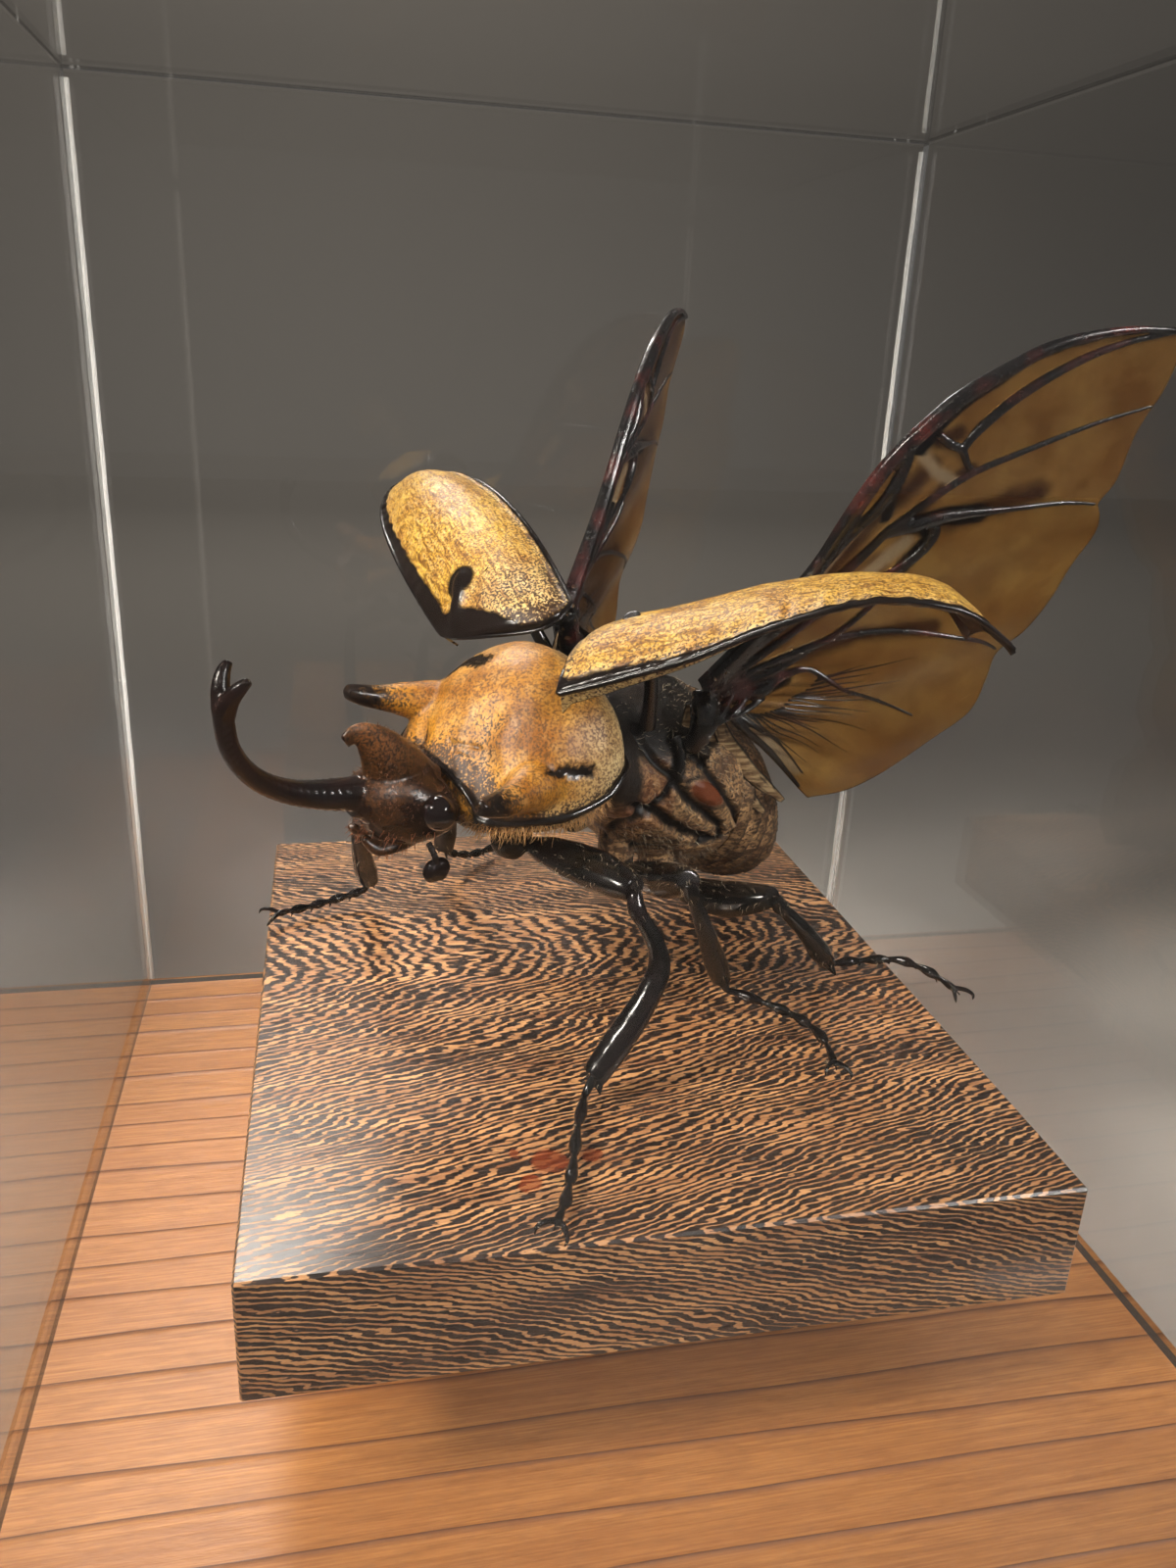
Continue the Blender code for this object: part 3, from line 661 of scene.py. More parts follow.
bead = bmesh.new()
rim_course = [(x_at, half + (0.4 if x_at < 6 else 0.1), widest + (0.9 if x_at < 6 else 0.1))
              for x_at, half, _, widest, _ in PRONOTUM_SECTIONS]
for course in (rim_course, other_side(rim_course)):
    tube(bead, course, [0.34, 0.46, 0.52, 0.52, 0.50, 0.44, 0.36], rings=90, sides=12)
for arc in END_ARCS:
    tube(bead, arc, [0.40, 0.40], rings=70, sides=12)
settle(one_skin("pronotum_rim", bead, 0.16, 2), black_shell, "black_shell")
hair_gold = hair_finish("golden_hair", (0.42, 0.22, 0.07))
hairs("pronotum_fringe", fringe_strands, 0.055, hair_gold, "golden_down")

# ---------------------------------------------------------------- head
# The head is one hard piece: a long horn that curves up to a fork, a hooked tooth on its root
# and a round eye on each side. The horn is black and ribbed across, the tooth and crown are
# brown under short down.
head_shell = new_finish("horn_and_head_shell", IOR=1.5, Coat_Weight=0.15, Coat_Roughness=0.08,
                        Specular_IOR_Level=0.35)
at = own_place(head_shell)
fuzz = painted(head_shell, "fuzz")
nap = cloud(head_shell, at, 2600.0, 3.0, 0.6)
shell_tone = mottled(head_shell, 220.0, 0.35, 0.7, (0.003, 0.002, 0.002), (0.012, 0.005, 0.004), detail=4.0)
fuzz_depth = spread(head_shell, nap, 0.35, 0.65)
fuzz_tone = mixed(head_shell, fuzz_depth, (0.012, 0.004, 0.002), (0.22, 0.080, 0.014))
worn = times(head_shell, fuzz, spread(head_shell, nap, 0.30, 0.52, 0.35, 1.0))
scratches = cloud(head_shell, at, 1500.0, 3.0, 0.6)
set_sockets(head_shell, Base_Color=mixed(head_shell, worn, shell_tone, fuzz_tone),
            Roughness=spread(head_shell, fuzz, 0.0, 1.0, 0.20, 0.62),
            Normal=grain_relief(head_shell, scratches, 0.40, 0.00016))

HEAD_SECTIONS = [
    (15.0, 6.2, -9.4, -12.2, -14.8), (17.0, 7.2, -8.0, -12.0, -17.0),
    (20.5, 6.4, -6.6, -12.0, -18.2), (24.0, 4.8, -6.6, -11.6, -17.0),
    (27.0, 3.4, -7.2, -11.0, -13.6), (28.6, 2.2, -8.6, -11.0, -12.4),
]
HORN_PATH = [(24, 0, -10.2), (33, 0, -8.4), (38.5, 0, -6.3), (42.6, 0, -3.2), (45.4, 0, 1.2),
             (46.5, 0, 6.6)]
HORN_RADII = [3.0, 2.4, 2.0, 1.75, 1.6, 1.5, 1.4, 1.35, 1.3, 1.3, 1.4]
TOOTH_PATH = [(19.0, 0, -11.4), (22.6, 0, -6.6), (24.9, 0, -3.4), (27.0, 0, -1.2), (28.7, 0, -0.5),
              (30.2, 0, -1.4)]
TOOTH_RADII = [5.2, 4.2, 3.0, 1.9, 1.4, 1.0]
EYE = Vector((19.4, 7.1, -10.2))
EYE_RADIUS = 2.35
shape = bmesh.new()
oval_body(shape, HEAD_SECTIONS, 26, 48)
tube(shape, HORN_PATH, HORN_RADII, rings=48, sides=20, flat=(1.0, 0.92))
tube(shape, TOOTH_PATH, TOOTH_RADII, rings=26, sides=20, flat=(0.58, 1.0))
for sign in (1, -1):
    prong = [(46.2, 0, 5.4), (46.2, sign * 1.1, 7.8), (45.6, sign * 2.0, 9.6), (44.7, sign * 2.5, 10.7)]
    tube(shape, prong, [1.35, 1.15, 0.9, 0.5], rings=14, sides=14)
    jaw = [(20.0, sign * 2.6, -16.6), (24.4, sign * 2.4, -17.4), (26.6, sign * 1.4, -15.8)]
    tube(shape, jaw, [1.6, 1.5, 0.7], rings=12, sides=12, flat=(1.0, 0.7))
head = one_skin("head_shell", shape, 0.26, 4)
points, outward = points_of(head), normals_of(head)
x, y, z = points.T
on_horn = ramp(x, 28.0, 3.0)
along = np.arctan2(z - 12.0, 36.0 - x) * 22.0
rib = np.maximum(np.sin(along * 5.2 + 1.5 * roughened(points, 2.0, 4)), 0) * (z < 4.5)
relief = 0.10 * rib * on_horn * ramp(np.abs(y), 0.0, 1.2) + 0.12 * roughened(points, 2.4, 5) * (1 - on_horn)
move_to(head, points + outward * relief[:, None])
crown = ramp(z, -11.0, 2.5) * (1 - on_horn)
tooth_top = beside(points, TOOTH_PATH, 1.0, 3.8) * ramp(z, -8.0, 5.0)
throat = ramp(x, 26.5, 2.0) * ramp(-z, 3.4, 1.0)
near_eye = falls(np.hypot(x - EYE.x, z - EYE.z), 2.4, 5.5)
fuzzy = np.maximum(0.26 + 0.14 * crown - 0.26 * near_eye, tooth_top) * (1 - throat)
paint(head, "fuzz", (fuzzy + 0.20 * roughened(points, 1.6, 6)) * (1 - on_horn))
mouth = (z < -13.5) & (x > 18.0) & (x < 27.5)
scalp = (z > -12.0) & (x < 27.0) & (np.abs(y) < 6.5)
mouth_strands = strands_on(points, outward, mouth, 170, 1.2, (0.35, 0.0, -0.4), 42)
scalp_strands = strands_on(points, outward, scalp, 700, 0.75, (0.3, 0.0, 0.15), 43)
settle(head, head_shell, "brown_head_shell", "head")
hair_rust = hair_finish("rusty_hair", (0.26, 0.085, 0.028))
hair_brown = hair_finish("brown_hair", (0.13, 0.050, 0.015))
hairs("mouth_hairs", mouth_strands, 0.05, hair_rust, "brown_head_shell")
hairs("scalp_hairs", scalp_strands, 0.045, hair_brown, "brown_head_shell")

eye_glass = new_finish("eye_lens", Base_Color=(0.006, 0.003, 0.003), Roughness=0.06, IOR=1.6,
                       Coat_Weight=0.4)
facets = knot(eye_glass, "TexVoronoi", {"Vector": own_place(eye_glass), "Scale": 4200.0})
set_sockets(eye_glass, Normal=grain_relief(eye_glass, facets, 0.05, 0.00004))
for side, sign in (("left", 1), ("right", -1)):
    shape = bmesh.new()
    bmesh.ops.create_icosphere(shape, subdivisions=5, radius=EYE_RADIUS)
    bmesh.ops.translate(shape, vec=(EYE.x, sign * EYE.y, EYE.z), verts=shape.verts)
    settle(new_object("eye_" + side, shape), eye_glass, "brown_head_shell")

# ---------------------------------------------------------------- thorax
# The middle of the body under the wings: hard tan plates under short fur, with deep dark seams
# between them and a smooth red-brown oval plate on each flank. Its neck hollow and its top
# under the wing cases are painted near black as shade.
plate_fur = new_finish("tan_downy_plates", IOR=1.5, Specular_IOR_Level=0.28)
hair_grey = hair_finish("grey_hair", (0.33, 0.27, 0.18))
fur = cloud(plate_fur, own_place(plate_fur), 1900.0, 3.0, 0.65)
combed = drawn_place(plate_fur, (0.0, 0.5, 0.5), (260.0, 2600.0, 1700.0))
furrows = cloud(plate_fur, combed, 1.0, 2.0)
tan = mottled(plate_fur, 260.0, 0.33, 0.68, (0.075, 0.034, 0.014), (0.50, 0.305, 0.140), 0.6, 4.0)
tan = mixed(plate_fur, spread(plate_fur, fur, 0.38, 0.50), (0.045, 0.022, 0.012), tan)
tan = mixed(plate_fur, spread(plate_fur, furrows, 0.47, 0.58, 0.0, 0.85), tan, (0.040, 0.020, 0.011))
skin = mixed(plate_fur, spread(plate_fur, furrows, 0.42, 0.60), (0.42, 0.31, 0.17), (0.16, 0.095, 0.045))
for mask, tone in (("bleached", skin), ("dim", (0.012, 0.007, 0.006)), ("oval", (0.125, 0.034, 0.013)),
                   ("seam_and_shade", (0.004, 0.003, 0.003))):
    tan = mixed(plate_fur, painted(plate_fur, mask), tan, tone)
set_sockets(plate_fur, Base_Color=tan, Normal=grain_relief(plate_fur, fur, 0.5, 0.00022),
            Roughness=spread(plate_fur, painted(plate_fur, "oval"), 0.0, 1.0, 0.50, 0.22))

THORAX_SECTIONS = [
    (-7.2, 11.6, 0.4, -9.6, -16.0), (-8.6, 12.8, 0.6, -10.6, -18.2),
    (-13.2, 13.6, -1.6, -13.0, -23.0), (-19.0, 15.4, -0.6, -14.5, -28.5),
    (-26.0, 16.4, -1.6, -16.0, -31.5), (-32.7, 16.4, -4.0, -18.5, -34.0),
]
NECK_SEAM = [(-12.8, 7.2, -5.0), (-14.3, 11.2, -7.3), (-17.0, 13.4, -9.5), (-16.1, 13.9, -11.7),
             (-14.3, 13.3, -13.6), (-11.9, 8.7, -16.5)]
FLANK_GAP = [(-11.5, 12.6, -13.6), (-13.2, 12.8, -14.3), (-16.5, 14.2, -15.9), (-21.8, 14.8, -19.5),
             (-28.0, 15.0, -22.5)]
PLATE_SEAM = [(-17.0, 13.4, -9.5), (-19.9, 15.3, -13.1), (-23.5, 15.8, -15.7), (-28.0, 16.2, -19.0),
              (-30.2, 15.1, -23.0)]
FRONT_SEAM = [(-13.0, 8.1, -20.8), (-12.4, 10.1, -17.3), (-13.8, 13.1, -14.9)]
BELLY_SEAM = [(-14.6, 6.9, -22.9), (-20.5, 11.8, -23.8), (-28.8, 14.8, -23.2), (-32.7, 15.9, -21.6)]
REAR_SEAM = [(-22.0, 13.6, -7.4), (-27.8, 16.1, -14.0), (-32.7, 16.2, -19.2)]
SADDLE_SEAM = [(-18.5, 10.6, -4.8), (-22.0, 13.6, -7.4), (-27.0, 12.0, -5.5), (-32.5, 10.0, -5.4)]
THIN_SEAMS = [NECK_SEAM, PLATE_SEAM, FRONT_SEAM, BELLY_SEAM, REAR_SEAM, SADDLE_SEAM]
OVAL_AT = (-23.5, 15.6, -12.3)
OVAL_ALONG = np.array([-0.87, 0.18, -0.45])
OVAL_HALF = (4.3, 1.9)
STRUT = [(-18.0, 11.4, -3.9), (-18.2, 13.3, -6.2), (-17.4, 13.9, -9.4)]
BOSS = [(-20.4, 12.0, -4.6), (-22.6, 13.4, -6.6), (-23.4, 14.4, -9.0)]
shape = bmesh.new()
oval_body(shape, THORAX_SECTIONS, 60, 96)
for turned in (list, other_side):
    tube(shape, turned(STRUT), [0.9, 0.7, 0.4], rings=16, sides=14)
    tube(shape, turned(BOSS), [1.5, 1.3, 0.7], rings=16, sides=14)
MID_HIPS = [((-15.5, 6.5, -20.0), (-16.33, 7.97, -28.66)), ((-24.5, 7.5, -24.0), (-24.67, 9.81, -32.27)),
            ((-15.5, -6.5, -20.0), (-13.39, -6.76, -27.0)), ((-24.5, -7.5, -24.0), (-23.01, -9.37, -31.85))]
for inner, socket in MID_HIPS:
    hip(shape, inner, socket)
thorax = one_skin("thorax_plates", shape, 0.36, 4)
points, outward = points_of(thorax), normals_of(thorax)
x, y, z = points.T
mirrored = np.stack([x, np.abs(y), z], axis=1)
thin_seams = np.min([from_path(mirrored, laid_on(mirrored, seam_and_shade)) for seam_and_shade in THIN_SEAMS], axis=0)
wide_gap = from_path(mirrored, laid_on(mirrored, FLANK_GAP))
off_oval = mirrored - np.array(laid_on(mirrored, [OVAL_AT, OVAL_AT], 2)[0])
run = off_oval @ OVAL_ALONG
rise = np.linalg.norm(off_oval - run[:, None] * OVAL_ALONG, axis=1)
oval = np.hypot(run / OVAL_HALF[0], rise / OVAL_HALF[1])
ragged = 0.25 * roughened(points, 1.6, 7)
hips = falls(np.min([np.linalg.norm(points - socket, axis=1) for _, socket in MID_HIPS], axis=0), 3.3, 4.0)
relief = -0.9 * falls(thin_seams, 0.1, 1.1) - 1.1 * falls(wide_gap + ragged, 0.5, 1.5)
relief += 0.7 * falls(oval, 0.4, 1.0) + 0.35 * roughened(points, 4.0, 8) + 0.10 * roughened(points, 1.1, 9)
move_to(thorax, points + outward * relief[:, None])
# Painted shade: the top under the wing cases and the hollow at the neck go near black through the seam and
# dim masks.
saddle = ramp(z, -7.5, 1.5) * ramp(x, -31.0, 3.0)
hollow = np.maximum((1 - ramp(-x, 11.0, 1.5)) * ramp(z, -15.0, 3.0), saddle)
seams = np.maximum(falls(thin_seams + 0.5 * ragged, 0.42, 0.80), falls(wide_gap + ragged, 0.6, 1.1))
seams = np.maximum(seams, 0.85 * falls(np.abs(oval - 1.12), 0.05, 0.18))
struts = [beside(mirrored, STRUT, 1.0, 1.9), beside(mirrored, BOSS[:2], 1.0, 1.9)]
paint(thorax, "seam_and_shade", np.max([seams, *struts, 0.95 * hollow, hips], axis=0))
front_plate = (1 - ramp(-x, 17.0, 0.8)) * ramp(z, -19.0, 1.5)
paint(thorax, "oval", np.maximum(falls(oval, 0.8, 1.02), 0.4 * front_plate * (1 - hollow)))
# Darker towards the underside, with painted shade in the neck hollow and a little at random.
paint(thorax, "dim", 0.35 * ramp(-z, 26.5, 3.0) + 0.3 * hollow + 0.3 * ragged)
downy = (seams < 0.3) & (hips < 0.2) & (oval > 1.1) & (x < -12.0) & (x > -32.0)
side_strands = strands_on(points, outward, downy, 1500, 1.1, (-0.45, 0.0, -0.3), 44)
settle(thorax, plate_fur, "tan_downy_plates", "thorax")
hairs("thorax_down", side_strands, 0.05, hair_grey, "tan_downy_plates")

# ---------------------------------------------------------------- abdomen
# The hind body: five rings that overlap like tiles and bend down to the tip, furred tan-brown
# with a dark shining edge on each ring.
ABDOMEN_SECTIONS = [
    (-33.0, 16.0, -4.4, -19.0, -35.0), (-37.3, 15.8, -7.0, -21.2, -37.4),
    (-42.0, 15.0, -10.4, -24.2, -39.9), (-46.5, 13.8, -14.4, -28.2, -41.9),
    (-51.0, 11.8, -19.4, -31.7, -42.9), (-55.0, 8.8, -25.0, -35.0, -42.4),
    (-57.4, 4.6, -30.0, -37.0, -40.6),
]
RING_LENGTH = 3.5
shape = bmesh.new()
oval_body(shape, ABDOMEN_SECTIONS, 60, 96)
abdomen = one_skin("abdomen_rings", shape, 0.36, 3)
points, outward = points_of(abdomen), normals_of(abdomen)
x, y, z = points.T
down_body = (ABDOMEN_SECTIONS[0][0] - x) / RING_LENGTH + 0.06 * np.cos(y / 9.0) - 0.012 * z
ring_place = down_body % 1.0
relief = 1.2 * ring_place ** 2 - 0.6 + 0.18 * roughened(points, 3.0, 10)
move_to(abdomen, points + outward * relief[:, None])
ring_edge = np.maximum(falls(1 - ring_place, 0.0, 0.10), falls(ring_place, 0.08, 0.24))
paint(abdomen, "seam_and_shade", ring_edge + 0.3 * ramp(-outward[:, 0], 0.7, 1.0))
paint(abdomen, "dim", 0.05 + 0.60 * ring_place ** 3 + 0.3 * ramp(-z, 36.0, 4.0))
settle(abdomen, plate_fur, "tan_downy_plates", "abdomen")

# ---------------------------------------------------------------- wing cases
# Two stiff domed covers, lifted and turned out as in flight. Their backs wear golden down that
# lies in fine streams; a black glossy bead runs round each edge, the shoulder of the far one
# is bare and black, and the hollow side is smooth dark brown.
ELYTRON_WIDTH = 22.0
ELYTRON_DOME = 4.0
BASE_ROUND = 0.16
SHOULDER_DROOP = 2.5
ELYTRON_WALL = 0.7
HOOK = [(8.6, 3.6), (6.6, 5.2), (5.0, 7.4), (5.6, 8.9), (9.5, 9.6), (16.0, 10.2)]  # raised black hook
HOOK_SPOT = (8.7, 3.8)


def streamed_place(made):
    """Places along the wing case, drawn out down its length and gently waved."""
    run, breadth = times(made, painted(made, "run"), 24.0), times(made, painted(made, "breadth"), 34.0)
    drawn = knot(made, "CombineXYZ", {0: run, 1: breadth})
    wave = knot(made, "TexNoise", {"Vector": drawn, "Scale": 0.45, "Detail": 2.0}, out=1)
    swing = knot(made, "MixRGB", {0: 1.0, 1: wave, 2: (2.2, 2.2, 2.2)}, blend_type="MULTIPLY")
    return knot(made, "MixRGB", {0: 1.0, 1: drawn, 2: swing}, blend_type="ADD")


case_down = downy_finish("golden_streamed_down", (0.60, 0.365, 0.042), (0.42, 0.205, 0.018),
                         streamed_place, 0.50, 0.90, 0.45)
case_lining = new_finish("brown_case_lining", IOR=1.5)
uneven = cloud(case_lining, own_place(case_lining), 400.0, 4.0)
set_sockets(case_lining, Base_Color=mixed(case_lining, uneven, (0.03, 0.014, 0.008), (0.13, 0.065, 0.03)),
            Roughness=0.3, Normal=grain_relief(case_lining, uneven, 0.3, 0.0002))


def unit_grid(columns, rows):
    """A flat grid of one by one, and each point's shares along and across it."""
    shape = bmesh.new()
    bmesh.ops.create_grid(shape, x_segments=columns, y_segments=rows, size=0.5)
    return shape, np.array([(vert.co.x + 0.5, vert.co.y + 0.5) for vert in shape.verts])


def thicken(made, thickness, offset=0.0):
    """Gives a thin sheet its wall, in millimetres."""
    wall = made.modifiers.new("wall", "SOLIDIFY")
    wall.thickness = thickness * MM
    wall.offset = offset
    return wall


def stance(hinge, along, facing):
    """Where a flat-made piece stands: x along one direction, z towards the other."""
    x_axis = Vector(along).normalized()
    y_axis = Vector(facing).cross(x_axis).normalized()
    turned = Matrix((x_axis, y_axis, x_axis.cross(y_axis))).transposed().to_4x4()
    return Matrix.Translation(Vector(hinge)) @ turned


def elytron_halves(s, taper):
    """Its width on the outer and on the inner side of its middle line, s from base to tip."""
    outer_half = (1 - 0.07 * (1 - s) ** 4) * (1 - 0.55 * s ** 4)
    inner_half = (1 - 0.22 * (1 - s) ** 4) * np.sqrt(np.maximum(1 - s ** 2, 0.03))
    return 0.5 * ELYTRON_WIDTH * outer_half, 0.5 * ELYTRON_WIDTH * inner_half * (1 - taper * s ** 3)


def case_form(outer, bulge, length, slant, trim, skew, taper, arch, lift):
    """One wing case's form: gives the point at s from base to tip and t from inner to outer edge."""
    arch_line, lift_line = eased(arch, 120), eased(lift, 120)

    def form(s, t):
        side = 2 * t - 1
        outer_half, inner_half = elytron_halves(s, taper)
        x = length * s - bulge * (1 - side ** 2) * (1 - 0.4 * side) * (1 - s) ** 3
        x += 0.7 * trim * max(side, 0) ** 6 * (1 - s) ** 8
        x += (trim + skew * (1 - side) / 2) * (1 - s) ** 4 - slant * (1 - side) * s ** 6
        y = outer * side * (outer_half if side > 0 else inner_half)
        rise = math.sqrt(1 - (1 - min(s / BASE_ROUND, 1)) ** 2)
        dome = ELYTRON_DOME * (1 - side ** 2) * (1 - 0.7 * s ** 4) * rise
        edge = np.interp(s, lift_line[:, 0], lift_line[:, 1]) * max(side, 0) ** 2
        droop = SHOULDER_DROOP * max(side, 0) ** 3 * (1 - s) ** 2
        return Vector((x, y, np.interp(s, arch_line[:, 0], arch_line[:, 1]) + dome + edge - droop))
    return form


def make_elytron(side, form, outer, length, taper, bare, place):
    """One wing case: a domed sheet with its ridged edge and its bare black parts."""
    shape, shares = unit_grid(190, 76)
    for vert, (s, t) in zip(shape.verts, shares):
        vert.co = form(s, t)
    bmesh.ops.recalc_face_normals(shape, faces=shape.faces)
    made = new_object("wing_case_" + side, shape)
    points, outward = points_of(made), normals_of(made)
    if outward[:, 2].mean() < 0:
        made.data.flip_normals()
        outward = -outward
    s, t = shares.T
    outer_half, inner_half = elytron_halves(s, taper)
    across = (2 * t - 1) * np.where(t > 0.5, outer_half, inner_half)
    out_edge, in_edge = outer_half - across, inner_half + across
    edge = np.minimum(np.minimum(out_edge, in_edge), np.minimum(s, 1 - s) * length + 0.15)
    plan = points[:, :2] * (1, outer)
    hook = from_path(plan, HOOK)
    wrinkles = np.sin(plan[:, 0] * 2.1 + 2.4 * roughened(points, 3.0, 13))
    relief = 0.30 * falls(np.abs(edge - 0.55), 0.0, 0.5) + 0.55 * falls(hook, 0.3, 2.0) * bare
    relief += 0.09 * wrinkles * falls(out_edge, 1.0, 6.5) * (s > 0.2)
    relief += 0.16 * roughened(points, 4.0, 11) + 0.05 * roughened(points, 1.3, 14)
    move_to(made, points + outward * relief[:, None])
    wander = roughened(points, 1.5, 12)
    base_gap = s * length
    if bare > 0.5:
        depth = np.interp(across, [-9, 0, 2.5, 6.0, 10.2], [-0.6, 0.2, 2.4, 5.4, 6.4])
        spot = np.linalg.norm(plan - HOOK_SPOT, axis=1)
        naked = [falls(base_gap + 0.7 * wander, depth, depth + 0.8), falls(hook + 0.2 * wander, 1.1, 1.5),
                 falls(spot + 0.2 * wander, 2.3, 2.7)]
        depths = [2.2, 2.4, 2.3, 1.9, 1.5, 1.1]
    else:
        naked = [falls(base_gap + 0.7 * out_edge + 0.8 * wander, 1.6, 2.4)]
        depths = [1.3, 1.1, 0.8, 0.6, 0.5, 0.5]
    band = np.interp(points[:, 0], [0, 8, 14, 22, 32, 56], depths)
    rim = [falls(edge + 0.12 * wander, 0.55, 0.8), falls(out_edge + 0.25 * wander, band, band + 0.35)]
    paint(made, "black", np.max(naked + rim, axis=0))
    paint(made, "run", s)
    paint(made, "breadth", t)
    inner_base = falls(np.linalg.norm(plan + (2, 4), axis=1), 3.0, 14.0)
    paint(made, "dusk", 0.10 + 0.55 * falls(edge, 0.6, 3.0) + 0.60 * inner_base + 0.15 * wander)
    paint(made, "pale", 0.25 * falls(edge, 0.5, 3.0) + 0.50 * inner_base + 0.15 * ramp(s, 0.6, 0.4))
    made.data.transform(place)
    settle(made, case_down, "golden_down", "elytron_" + side)
    made.data.materials.append(case_lining)
    made.data.materials.append(black_shell)
    wall = thicken(made, ELYTRON_WALL, -1.0)
    wall.material_offset = 1
    wall.material_offset_rim = 2


# Outer side, roundness of the base, length, slant of the tip, trim and skew of the base, taper,
# arch along it, lift of its outer edge, bareness, and stance.
ELYTRA = {
    "left": (-1, 3.0, 56.0, 2.5, 0.0, 9.0, 0.0,
             [(0, 1.4), (0.08, 1.5), (0.15, 1.8), (0.3, 3.1), (0.5, 5.3), (0.7, 6.5), (0.85, 6.1),
              (0.93, 4.2), (1, 0.5)],
             [(0, 0), (0.15, 0.8), (0.3, 1.0), (0.5, 2.0), (0.7, 2.6), (0.85, 1.2), (1, 0)], 0.25,
             ((-1.7, 3.9, 7.0), (-0.605, 0.737, 0.316), (0.14, -0.29, 0.95))),
    "right": (1, 5.5, 59.5, 4.5, 5.2, -9.6, 0.6,
              [(0, 1.6), (0.08, 1.8), (0.15, 2.3), (0.3, 4.0), (0.5, 5.2), (0.7, 4.7), (0.85, 2.9),
               (0.93, 1.5), (1, 0)],
              [(0, 0), (1, 0)], 1.0, ((-7.0, -15.0, 3.0), (-0.32, -0.945, 0.04), (0.6, 0.0, 0.8))),
}
CASE_TIP = 0.995  # share of the length where the edge beads meet
HEM_REACH = 0.46
HEM_DEPTH = 2.5
CASE_ROOTS = {"left": [(-6.0, 8.5, 15.1), (-11.6, 9.2, 6.6), (-14.4, 8.8, -3.0)],
              "right": [(-6.1, -23.4, 8.3), (-12.4, -18.6, 2), (-15.4, -12.3, -5.2)]}
for side, (outer, bulge, length, slant, trim, skew, taper, arch, lift, bare, stand) in ELYTRA.items():
    case_place = stance(*stand)
    form = case_form(outer, bulge, length, slant, trim, skew, taper, arch, lift)
    make_elytron(side, form, outer, length, taper, bare, case_place)

    bead = bmesh.new()
    for edge_t in (0.0, 1.0):
        run = [case_place @ form(s, edge_t) for s in np.linspace(0.0, CASE_TIP, 30)]
        tube(bead, run, [0.42, 0.46, 0.40, 0.34], rings=80, sides=10)
    base_line = [case_place @ form(0.0, t) for t in np.linspace(0, 1, 14)]
    tube(bead, base_line, [0.34, 0.32, 0.45], rings=30, sides=10)
    tip_line = [case_place @ form(CASE_TIP, t) for t in np.linspace(0, 1, 6)]
    tube(bead, tip_line, [0.34, 0.34], rings=12, sides=10)
    tube(bead, CASE_ROOTS[side], [1.3, 1.1, 1.0, 1.1, 1.3], rings=20, sides=14)
    settle(one_skin("wing_case_rim_" + side, bead, 0.16, 2), black_shell, "black_shell")

    hem, shares = unit_grid(110, 12)
    for vert, (along, down) in zip(hem.verts, shares):
        depth = HEM_DEPTH * down * (1 - along) ** 1.1 * (0.75 + 0.5 * falls(along, 0.0, 0.06))
        edge_point = form(0.005 + HEM_REACH * along, 1.0)
        vert.co = edge_point + Vector((-0.10, -outer * 0.42, -0.90)) * depth + Vector((0, 0, -0.25))
    bmesh.ops.recalc_face_normals(hem, faces=hem.faces)
    strip = new_object("wing_case_hem_" + side, hem)
    points = points_of(strip)
    along, down = shares.T
    paint(strip, "black", falls(1.0 - down, 0.04, 0.10))
    paint(strip, "run", along)
    paint(strip, "breadth", 0.2 * down)
    paint(strip, "dusk", 0.42 + 0.2 * roughened(points, 1.4, 15))
    paint(strip, "pale", 0.75 + 0.2 * roughened(points, 2.4, 16))
    strip.data.transform(case_place)
    settle(strip, case_down, "golden_down")
    thicken(strip, 0.35)

# ---------------------------------------------------------------- hind wings
# Two long wings of thin amber film, stiffened by dark veins. A broad black band follows the
# front margin, the film has a dark joint half way, and behind it small pleats fan out from the
# root. The film and its veins are separate pieces; together they are one wing.
WING_LENGTH = 76.0
WING_LEADING = [(0, -0.6), (10, -2.0), (21, -4.4), (28, -7.4), (36, -11.1), (42, -12.7), (49, -13.5),
                (54, -12.9), (60, -11.7), (66, -8.7), (71, -5.2), (76, -0.7)]
WING_TRAILING = [(0, 30), (4, 33.6), (9, 35.7), (15, 36.2), (22, 35.3), (28, 34.3), (33, 30.8),
                 (36.4, 27.6), (41, 26.8), (46, 24.5), (51, 21.6), (55.6, 19.6), (57.4, 17.6),
                 (58, 15.2), (61.4, 13.7), (65.6, 9.8), (68.6, 7.8), (71.2, 6.3), (74.7, 2.8),
                 (76, 0.6)]
